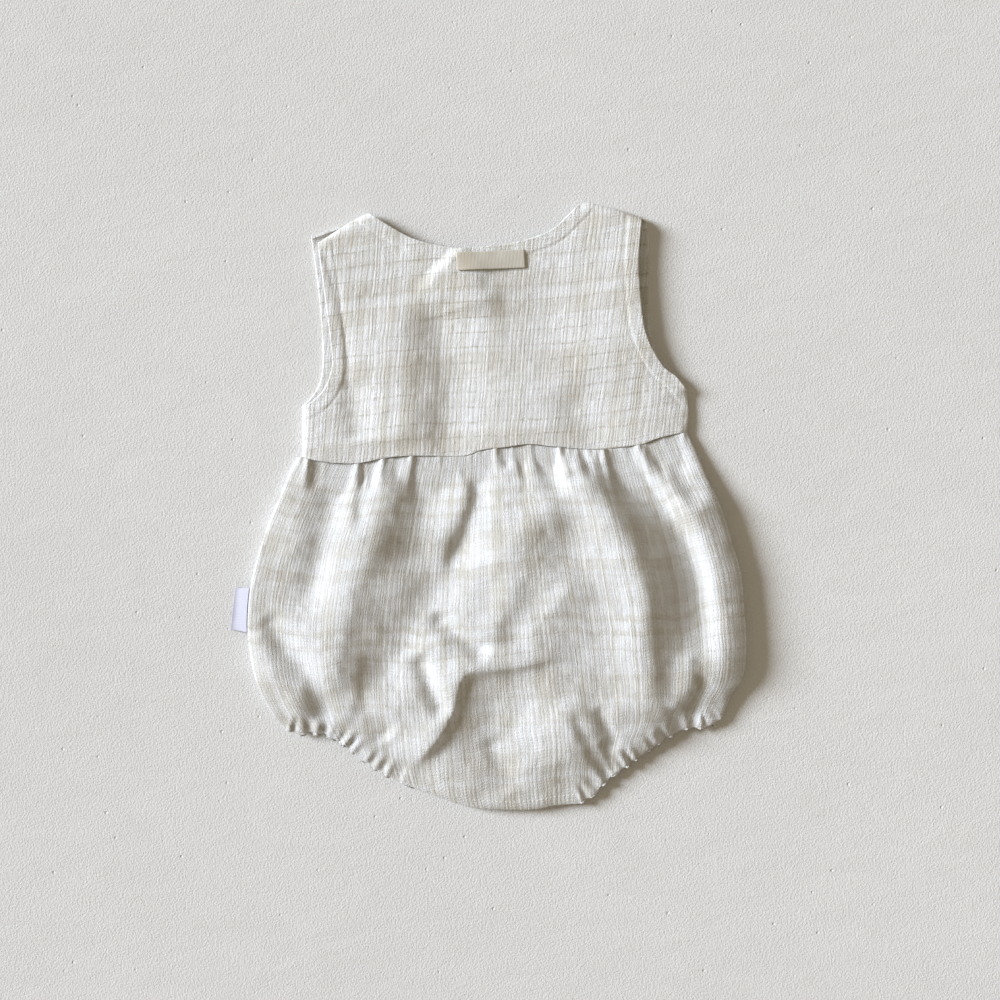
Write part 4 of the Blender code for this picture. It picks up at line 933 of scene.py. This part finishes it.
def care_label(look):
    """Folded satin tape: a strip from the side seam, whose height falls by a power towards its free edge."""
    s, t = np.meshgrid(np.linspace(0.0, 1.0, CARE_GRID[0]), np.linspace(0.0, 1.0, CARE_GRID[1]))
    side = evenly(LEFT_SIDE, 200)[::-1]
    y_in = CARE_TOP + t * (CARE_BOTTOM - CARE_TOP)
    x_in = np.interp(y_in, side[:, 1], side[:, 0]) - SEAM_GAP
    x_out = CARE_OUTER_TOP[0] + t * (CARE_OUTER_BOTTOM[0] - CARE_OUTER_TOP[0])
    y_out = CARE_OUTER_TOP[1] + t * (CARE_OUTER_BOTTOM[1] - CARE_OUTER_TOP[1])
    x = x_out + s * (x_in - x_out)
    y = y_out + s * (y_in - y_out)
    root = SIDE_SEAM + CARE_WALL / 2
    z = CARE_TIP + (root - CARE_TIP) * s**CARE_DROOP + CARE_BOW * np.sin(math.pi * t) * (1.0 - s)
    z = z + rumples([CARE_RUMPLE], x, y) * (1.0 - s)
    outer = np.dstack([x, y, z])
    normals = np.tile((0.0, 0.0, 1.0), (*outer.shape[:2], 1))
    bulge = np.where(s < CARE_SEWN, 1.0, 0.0)
    return wall("care_tape", outer, normals, CARE_WALL, np.dstack([x, y]), look, True, bulge)


def linear(code, alpha=1.0):
    """A hex sRGB colour as linear light: (c / 12.92) below 0.04045, else ((c + 0.055) / 1.055) to the 2.4."""
    parts = [int(code[k : k + 2], 16) / 255 for k in (0, 2, 4)]
    return (*[c / 12.92 if c <= 0.04045 else ((c + 0.055) / 1.055) ** 2.4 for c in parts], alpha)


def add(tree, kind, inputs=None, **settings):
    """Adds a node to a material. settings are its own properties.

    inputs are values, outputs of other nodes, or other nodes, which stand for their first output.
    """
    made = tree.nodes.new("ShaderNode" + kind)
    for key, value in settings.items():
        setattr(made, key, value)
    for key, value in (inputs or {}).items():
        value = value.outputs[0] if isinstance(value, bpy.types.Node) else value
        if isinstance(value, bpy.types.NodeSocket):
            tree.links.new(value, made.inputs[key])
        else:
            made.inputs[key].default_value = value
    return made


def new_material(name, roughness, sheen):
    """A material with a Principled shader of textile IOR, and its tree."""
    look = bpy.data.materials.new(name)
    look.use_nodes = True
    shader = look.node_tree.nodes["Principled BSDF"]
    shader.inputs["Roughness"].default_value = roughness
    shader.inputs["IOR"].default_value = 1.5
    shader.inputs["Sheen Weight"].default_value = sheen
    shader.inputs["Sheen Roughness"].default_value = 0.5
    shader.inputs["Specular IOR Level"].default_value = 0.3
    return look, look.node_tree


def dress(look, colour, bump):
    """Links a colour and a bump to a material's shader, and gives the material back."""
    shader = look.node_tree.nodes["Principled BSDF"]
    look.node_tree.links.new(colour, shader.inputs["Base Color"])
    look.node_tree.links.new(bump.outputs[0], shader.inputs["Normal"])
    return look


def crinkled_cotton(cloth, cotton):
    """Crinkled double cotton, woven with slubby yarn and left undyed.

    Ribs run down the cloth with thin valleys between them, darkened beige by painted shade. Fine threads and
    thin darker lines cross them, and bands of white and beige yarn in both ways make a faint uneven plaid.
    """
    look, tree = new_material(cotton.name, 0.92, 0.12)
    spot = add(tree, "UVMap", uv_map=CLOTH_UV).outputs["UV"]
    # Threads wander by up to about half a millimetre, and ribs differ in width.
    wander = add(tree, "TexNoise", {"Vector": spot, "Scale": 60.0, "Detail": 2.0}, noise_dimensions="2D")
    drift = add(tree, "VectorMath", {0: wander.outputs["Color"], 1: (0.5, 0.5, 0.5)}, operation="SUBTRACT")
    place = add(tree, "VectorMath", {0: drift, 1: (0.0022, 0.0030, 0.0), 2: spot}, operation="MULTIPLY_ADD")
    split = add(tree, "SeparateXYZ", {0: place})
    x = split.outputs["X"]
    y = split.outputs["Y"]
    uneven = add(tree, "TexNoise", {"W": x, "Scale": 150.0, "Detail": 1.0}, noise_dimensions="1D")
    rib_at = add(tree, "Math", {0: uneven, 1: 0.0045, 2: x}, operation="MULTIPLY_ADD")
    rib = add(tree, "Math", {0: rib_at, 1: cloth.rib_pitch}, operation="DIVIDE")
    rib_number = add(tree, "Math", {0: rib}, operation="FLOOR")
    rib_share = add(tree, "Math", {0: rib}, operation="FRACT")
    arch = add(tree, "Math", {0: rib_share, 1: math.pi}, operation="MULTIPLY")
    ridge = add(tree, "Math", {0: arch}, operation="SINE")
    # A rib swells and thins along its length, each one in its own way.
    along = add(tree, "Math", {0: y, 1: 150.0}, operation="MULTIPLY")
    own = add(tree, "Math", {0: rib_number, 1: 7.31}, operation="MULTIPLY")
    slub_at = add(tree, "CombineXYZ", {"X": own, "Y": along})
    slub = add(tree, "TexNoise", {"Vector": slub_at, "Scale": 1.0, "Detail": 2.0}, noise_dimensions="2D")
    swell = add(tree, "MapRange", {0: slub, 1: 0.3, 2: 0.7, 3: 0.35})
    rib_height = add(tree, "Math", {0: ridge, 1: swell}, operation="MULTIPLY")
    # Cross threads, which break the ribs into small cells
    weft = add(tree, "Math", {0: y, 1: 2 * math.pi / cloth.cross_pitch}, operation="MULTIPLY")
    weft = add(tree, "Math", {0: weft}, operation="SINE")
    # Yarn grain, drawn at about 0.8 mm, coarser than the real yarn, so that it shows
    grain_at = add(tree, "VectorMath", {0: place, 1: (1.0, 1.15, 1.0)}, operation="MULTIPLY")
    yarn = {"Vector": grain_at, "Scale": 1200.0, "Detail": 2.0, "Roughness": 0.7}
    yarn = add(tree, "TexNoise", yarn, noise_dimensions="2D")
    relief = add(tree, "Math", {0: weft, 1: 0.22, 2: rib_height}, operation="MULTIPLY_ADD")
    relief = add(tree, "Math", {0: yarn, 1: 2.2, 2: relief}, operation="MULTIPLY_ADD")
    bump = add(tree, "Bump", {"Height": relief, "Distance": cloth.relief})
    # Bands of white and of beige yarn with clear edges, some 5 to 25 mm wide, which show more in some patches
    warp_band = add(tree, "TexNoise", {"W": x, "Scale": 75.0, "Detail": 1.0}, noise_dimensions="1D")
    warp_band = add(tree, "MapRange", {0: warp_band, 1: 0.47, 2: 0.55})
    weft_band = add(tree, "TexNoise", {"W": y, "Scale": 60.0, "Detail": 1.0}, noise_dimensions="1D")
    weft_band = add(tree, "MapRange", {0: weft_band, 1: 0.48, 2: 0.54})
    patch = add(tree, "TexNoise", {"Vector": spot, "Scale": 28.0, "Detail": 1.0}, noise_dimensions="2D")
    patch = add(tree, "MapRange", {0: patch, 1: 0.35, 2: 0.65, 3: 0.45})
    bands = add(tree, "Math", {0: weft_band, 1: 0.8, 2: warp_band}, operation="MULTIPLY_ADD")
    bands = add(tree, "Math", {0: bands, 1: patch}, operation="MULTIPLY")
    bands = add(tree, "Math", {0: bands, 1: cotton.beige}, operation="MULTIPLY", use_clamp=True)
    colour = {0: bands, 6: linear(WHITE_YARN), 7: linear(BEIGE_YARN)}
    colour = add(tree, "Mix", colour, data_type="RGBA").outputs[2]
    # Valleys between ribs, darkened with painted shade, broken into dashes and stronger at some ribs
    valley = add(tree, "MapRange", {0: rib_height, 1: 0.5, 2: 0.05})
    shows = add(tree, "TexWhiteNoise", {"W": rib_number}, noise_dimensions="1D")
    shows = add(tree, "MapRange", {0: shows, 3: 0.1, 4: 0.4})
    valley = add(tree, "Math", {0: valley, 1: shows}, operation="MULTIPLY")
    dashes = add(tree, "TexNoise", {"Vector": spot, "Scale": 420.0, "Detail": 2.0}, noise_dimensions="2D")
    dashes = add(tree, "MapRange", {0: dashes, 1: 0.4, 2: 0.6, 3: 0.25, 4: 1.5})
    valley = add(tree, "Math", {0: valley, 1: dashes}, operation="MULTIPLY", use_clamp=True)
    colour = add(tree, "Mix", {0: valley, 6: colour, 7: linear(VALLEY_PAINTED_SHADE)}, data_type="RGBA").outputs[2]
    # Thin darker lines across, about every 10 mm, broken by slubs and stronger in some patches
    line = add(tree, "Math", {0: y, 1: cloth.plaid_pitch}, operation="DIVIDE")
    line = add(tree, "Math", {0: line, 1: 0.5}, operation="PINGPONG")
    line = add(tree, "MapRange", {0: line, 1: 0.0, 2: 0.1, 3: cotton.lines, 4: 0.0})
    strong = add(tree, "TexNoise", {"Vector": spot, "Scale": 24.0, "Detail": 1.0}, noise_dimensions="2D")
    strong = add(tree, "MapRange", {0: strong, 1: 0.38, 2: 0.6, 3: 0.4})
    line = add(tree, "Math", {0: line, 1: strong}, operation="MULTIPLY")
    broken = add(tree, "MapRange", {0: slub, 1: 0.3, 2: 0.55})
    line = add(tree, "Math", {0: line, 1: broken}, operation="MULTIPLY")
    colour = add(tree, "Mix", {0: line, 6: colour, 7: linear(LINE_YARN)}, data_type="RGBA").outputs[2]
    # Thick white slubs that run down the cloth here and there
    streak = add(tree, "TexNoise", {"W": x, "Scale": 330.0, "Detail": 1.0}, noise_dimensions="1D")
    streak = add(tree, "MapRange", {0: streak, 1: 0.56, 2: 0.64, 4: 0.6})
    streak = add(tree, "Math", {0: streak, 1: broken}, operation="MULTIPLY")
    colour = add(tree, "Mix", {0: streak, 6: colour, 7: linear(SLUB_YARN)}, data_type="RGBA").outputs[2]
    # Speckle of the yarn, at about 0.5 mm, times the lightness, lowered on the bloomers as painted shade
    speck = add(tree, "TexNoise", {"Vector": grain_at, "Scale": 1900.0, "Detail": 1.0}, noise_dimensions="2D")
    speck = {0: speck, 1: 0.3, 2: 0.7, 3: 0.82 * cotton.light, 4: 1.12 * cotton.light}
    speck = add(tree, "MapRange", speck)
    colour = add(tree, "VectorMath", {0: colour, 3: speck}, operation="SCALE").outputs[0]
    return dress(look, colour, bump)


def woven_ribbon(name, labels):
    """Polyester ribbon, woven fine and flat: cross ribs just under a millimetre apart and a faint sheen."""
    look, tree = new_material(name, 0.5, 0.1)
    spot = add(tree, "UVMap", uv_map=CLOTH_UV).outputs["UV"]
    x = add(tree, "SeparateXYZ", {0: spot}).outputs["X"]
    ribs = add(tree, "Math", {0: x, 1: 2 * math.pi / 0.0009}, operation="MULTIPLY")
    ribs = add(tree, "Math", {0: ribs}, operation="SINE")
    fuzz = add(tree, "TexNoise", {"Vector": spot, "Scale": 900.0, "Detail": 2.0}, noise_dimensions="2D")
    relief = add(tree, "Math", {0: ribs, 1: 0.3, 2: fuzz}, operation="MULTIPLY_ADD")
    bump = add(tree, "Bump", {"Height": relief, "Distance": 0.00008})
    # The ribbon turns darker and beiger towards its left end, in patches.
    end = add(tree, "MapRange", {0: x, 1: -0.0095, 2: -0.0125})
    patchy = add(tree, "MapRange", {0: fuzz, 1: 0.3, 2: 0.7, 3: 0.4})
    end = add(tree, "Math", {0: end, 1: patchy}, operation="MULTIPLY")
    tint = {0: end, 6: (*labels.ribbon_colour, 1.0), 7: linear(RIBBON_END)}
    return dress(look, add(tree, "Mix", tint, data_type="RGBA").outputs[2], bump)


def white_satin(name, labels):
    """Polyester satin tape, woven with long floats: smooth and pale, with a soft sheen and faint lines."""
    look, tree = new_material(name, 0.5, 0.1)
    spot = add(tree, "UVMap", uv_map=CLOTH_UV).outputs["UV"]
    y = add(tree, "SeparateXYZ", {0: spot}).outputs["Y"]
    floats = add(tree, "Math", {0: y, 1: 2 * math.pi / 0.0010}, operation="MULTIPLY")
    floats = add(tree, "Math", {0: floats}, operation="SINE")
    cloud = add(tree, "TexNoise", {"Vector": spot, "Scale": 220.0, "Detail": 3.0}, noise_dimensions="2D")
    relief = add(tree, "Math", {0: floats, 1: 0.2, 2: cloud}, operation="MULTIPLY_ADD")
    bump = add(tree, "Bump", {"Height": relief, "Distance": 0.00012})
    # Both tones are greyed below the tape's white: painted shade against the light on its tilted face
    tint = {0: cloud, 6: linear(SATIN_DARKER_PAINTED_SHADE), 7: (*labels.satin_colour_with_painted_shade, 1.0)}
    return dress(look, add(tree, "Mix", tint, data_type="RGBA").outputs[2], bump)


def sewing_thread(name):
    """Spun polyester sewing thread: off-white, matt, with a fine twist."""
    look, tree = new_material(name, 0.75, 0.2)
    spot = add(tree, "TexCoord").outputs["Object"]
    twist = add(tree, "TexNoise", {"Vector": spot, "Scale": 2200.0, "Detail": 1.0})
    bump = add(tree, "Bump", {"Height": twist, "Distance": 0.0001})
    tint = {0: twist, 6: linear(THREAD_DARK), 7: linear(THREAD_LIGHT)}
    return dress(look, add(tree, "Mix", tint, data_type="RGBA").outputs[2], bump)


def brushed_plaster(name, stage):
    """Lime plaster, brushed on and left matt: fine sandy grit, soft brush marks and a few small pits."""
    look, tree = new_material(name, 0.9, 0.0)
    spot = add(tree, "TexCoord").outputs["Object"]
    grit = add(tree, "TexNoise", {"Vector": spot, "Scale": 800.0, "Detail": 3.0, "Roughness": 0.7})
    brush_at = add(tree, "Mapping", {"Vector": spot, "Scale": (1.0, 2.6, 1.0), "Rotation": (0, 0, 0.5)})
    brush = {"Vector": brush_at, "Scale": 22.0, "Detail": 5.0, "Roughness": 0.6, "Distortion": 0.6}
    brush = add(tree, "TexNoise", brush)
    broad = add(tree, "TexNoise", {"Vector": spot, "Scale": 5.0, "Detail": 2.0})
    pits = add(tree, "TexVoronoi", {"Vector": spot, "Scale": 55.0}).outputs["Distance"]
    pits = add(tree, "MapRange", {0: pits, 1: 0.02, 2: 0.06, 3: -0.8, 4: 0.0})
    relief = add(tree, "Math", {0: brush, 1: 0.9, 2: grit}, operation="MULTIPLY_ADD")
    relief = add(tree, "Math", {0: pits, 1: relief}, operation="ADD")
    bump = add(tree, "Bump", {"Height": relief, "Distance": 0.0006})
    cloud = add(tree, "Math", {0: brush, 1: broad}, operation="ADD")
    cloud = add(tree, "MapRange", {0: cloud, 1: 0.75, 2: 1.25})
    tint = {0: cloud, 6: (*stage.plaster_dark, 1.0), 7: (*stage.plaster_light, 1.0)}
    return dress(look, add(tree, "Mix", tint, data_type="RGBA").outputs[2], bump)


class ClothSettings(bpy.types.PropertyGroup):
    """The crinkled cotton that all four panels are cut from."""

    rib_pitch: bpy.props.FloatProperty(
        name="Rib pitch", description="Distance between two ribs of the cloth", default=0.00275, unit="LENGTH"
    )
    cross_pitch: bpy.props.FloatProperty(
        name="Cross thread pitch",
        description="Distance between two cross threads",
        default=0.00195,
        unit="LENGTH",
    )
    plaid_pitch: bpy.props.FloatProperty(
        name="Line pitch",
        description="Distance between two darker lines across",
        default=0.0096,
        unit="LENGTH",
    )
    relief: bpy.props.FloatProperty(
        name="Relief", description="Height of the ribs", default=0.00022, unit="LENGTH"
    )


class LabelSettings(bpy.types.PropertyGroup):
    """The two labels, both bare."""

    ribbon_colour: bpy.props.FloatVectorProperty(
        name="Ribbon colour", description="Neck label", subtype="COLOR", default=linear("CDC9BC")[:3]
    )
    # Greyed below the tape's white as painted shade, since the label tilts towards the light
    satin_colour_with_painted_shade: bpy.props.FloatVectorProperty(
        name="Satin colour", description="Care label", subtype="COLOR", default=linear("B6B5C0")[:3]
    )


class StageSettings(bpy.types.PropertyGroup):
    """The plaster floor, the light and the camera."""

    plaster_light: bpy.props.FloatVectorProperty(
        name="Light plaster",
        description="Palest tone of the floor",
        subtype="COLOR",
        default=linear("E1E0DD")[:3],
    )
    plaster_dark: bpy.props.FloatVectorProperty(
        name="Dark plaster",
        description="Deepest tone of the floor",
        subtype="COLOR",
        default=linear("DDDCD9")[:3],
    )
    window_strength: bpy.props.FloatProperty(
        name="Window strength", description="Strength of the light from the left", default=5.6
    )
    window_spread: bpy.props.FloatProperty(
        name="Window spread",
        description="Angle that the window takes up",
        default=math.radians(22),
        subtype="ANGLE",
    )
    room_strength: bpy.props.FloatProperty(
        name="Room strength", description="Strength of the light from the room", default=0.33
    )
    camera_height: bpy.props.FloatProperty(
        name="Camera height", description="Height of the camera above the floor", default=1.108, unit="LENGTH"
    )


class ROMPER_OT_bodice(bpy.types.Operator):
    """Makes the back and the front of the sleeveless bodice."""

    bl_idname = "romper.bodice"
    bl_label = "Bodice"

    def execute(self, context):
        look = crinkled_cotton(context.scene.romper_cloth, BODICE_COTTON)
        back_edges = (LEFT_SHOULDER, NECKLINE, RIGHT_SHOULDER, LEFT_ARMHOLE, RIGHT_ARMHOLE)
        front_edges = (
            FRONT_LEFT_SHOULDER,
            FRONT_NECKLINE,
            FRONT_RIGHT_SHOULDER,
            FRONT_LEFT_ARMHOLE,
            FRONT_RIGHT_ARMHOLE,
        )
        back = bodice("bodice_back_cloth", BACK_BODICE_GRID, back_edges, bodice_top, look, True)
        front = bodice("bodice_front_cloth", FRONT_BODICE_GRID, front_edges, bodice_under, look, False)
        for piece, node, under, cut in (
            (back, "back_bodice", "front_bodice", BACK_BODICE_CUT),
            (front, "front_bodice", "floor", FRONT_BODICE_CUT),
        ):
            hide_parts(node)
            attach(piece, "root")
        return {"FINISHED"}


class ROMPER_OT_bloomers(bpy.types.Operator):
    """Makes the puffed back and the flat front of the bloomers, and the crotch hem's stitching."""

    bl_idname = "romper.bloomers"
    bl_label = "Bloomers"

    def execute(self, context):
        # The bloomers' cotton is darker than the bodice's: painted shade
        look = crinkled_cotton(context.scene.romper_cloth, SHADED_BLOOMER_COTTON)
        back = bloomer("bloomer_back_cloth", BACK_BLOOMER_GRID, bloomer_top, look, True)
        front = bloomer("bloomer_front_cloth", FRONT_BLOOMER_GRID, bloomer_under, look, False)
        hem = sunk_line(CROTCH, 0.3, 0.97, CROTCH_HEM, bloomer_top)
        row = stitches("crotch_stitches", hem, sewing_thread("sewing thread, crotch"), *CROTCH_STITCH)
        for piece, node, under, cut in (
            (back, "back_bloomer", "front_bloomer", BLOOMER_CUT),
            (front, "front_bloomer", "floor", FRONT_BLOOMER_CUT),
        ):
            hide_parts(node)
            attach(piece, "root")
        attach(row, "root")
        return {"FINISHED"}


class ROMPER_OT_labels(bpy.types.Operator):
    """Makes the ribbon under the neckline and the folded satin label in the left side seam, both bare."""

    bl_idname = "romper.labels"
    bl_label = "Labels"

    def execute(self, context):
        labels = context.scene.romper_labels
        ribbon = neck_label(woven_ribbon("woven ribbon, cream", labels))
        tape = care_label(white_satin("satin tape, white", labels))
        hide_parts("neck_label")
        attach(ribbon, "root")
        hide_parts("care_label")
        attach(tape, "root")
        return {"FINISHED"}


class ROMPER_OT_stage(bpy.types.Operator):
    """Makes the plaster floor, the soft light from the left and the camera above."""

    bl_idname = "romper.stage"
    bl_label = "Stage"

    def execute(self, context):
        stage = context.scene.romper_stage
        mesh = bpy.data.meshes.new("floor")
        corners = [(x * FLOOR, y * FLOOR, FLOOR_Z) for x, y in ((-1, -1), (1, -1), (1, 1), (-1, 1))]
        mesh.from_pydata(corners, [], [(0, 1, 2, 3)])
        mesh.materials.append(brushed_plaster("brushed plaster", stage))
        floor = bpy.data.objects.new("floor", mesh)
        context.scene.collection.objects.link(floor)

        window = bpy.data.lights.new("window", "SUN")
        window.energy = stage.window_strength
        window.angle = stage.window_spread
        window.color = WINDOW_TINT
        lamp = bpy.data.objects.new("window", window)
        lamp.rotation_euler = (0.0, math.pi / 2 - WINDOW_HEIGHT, WINDOW_WAY)
        context.scene.collection.objects.link(lamp)

        room = bpy.data.worlds.new("room")
        room.use_nodes = True
        sky = room.node_tree.nodes["Background"]
        sky.inputs["Color"].default_value = (*ROOM_TINT, 1.0)
        sky.inputs["Strength"].default_value = stage.room_strength
        context.scene.world = room

        eye = bpy.data.cameras.new("camera")
        eye.sensor_fit = "HORIZONTAL"
        eye.angle = 2 * math.atan(VIEW_WIDTH / 2 / (stage.camera_height - VIEW_LEVEL))
        camera = bpy.data.objects.new("camera", eye)
        camera.location = (VIEW_X, VIEW_Y, stage.camera_height)
        context.scene.collection.objects.link(camera)
        context.scene.camera = camera
        context.scene.view_settings.view_transform = "Standard"
        return {"FINISHED"}


class ROMPER_PT_panel(bpy.types.Panel):
    """The romper's settings and steps in the sidebar."""

    bl_idname = "ROMPER_PT_panel"
    bl_label = "Romper"
    bl_space_type = "VIEW_3D"
    bl_region_type = "UI"
    bl_category = "Romper"

    def draw(self, context):
        for group in (context.scene.romper_cloth, context.scene.romper_labels, context.scene.romper_stage):
            box = self.layout.box()
            for key in group.__annotations__:
                box.prop(group, key)
        for step in STEPS:
            self.layout.operator(step.bl_idname)


STEPS = (ROMPER_OT_bodice, ROMPER_OT_bloomers, ROMPER_OT_labels, ROMPER_OT_stage)
CLASSES = (ClothSettings, LabelSettings, StageSettings, *STEPS, ROMPER_PT_panel)


def register():
    for made in CLASSES:
        bpy.utils.register_class(made)
    bpy.types.Scene.romper_cloth = bpy.props.PointerProperty(type=ClothSettings)
    bpy.types.Scene.romper_labels = bpy.props.PointerProperty(type=LabelSettings)
    bpy.types.Scene.romper_stage = bpy.props.PointerProperty(type=StageSettings)


def unregister():
    del bpy.types.Scene.romper_stage
    del bpy.types.Scene.romper_labels
    del bpy.types.Scene.romper_cloth
    for made in reversed(CLASSES):
        bpy.utils.unregister_class(made)


def main():
    """Makes every piece and the stage in order."""
    register()
    bpy.ops.romper.bodice()
    bpy.ops.romper.bloomers()
    bpy.ops.romper.labels()
    bpy.ops.romper.stage()


if __name__ == "__main__":
    main()
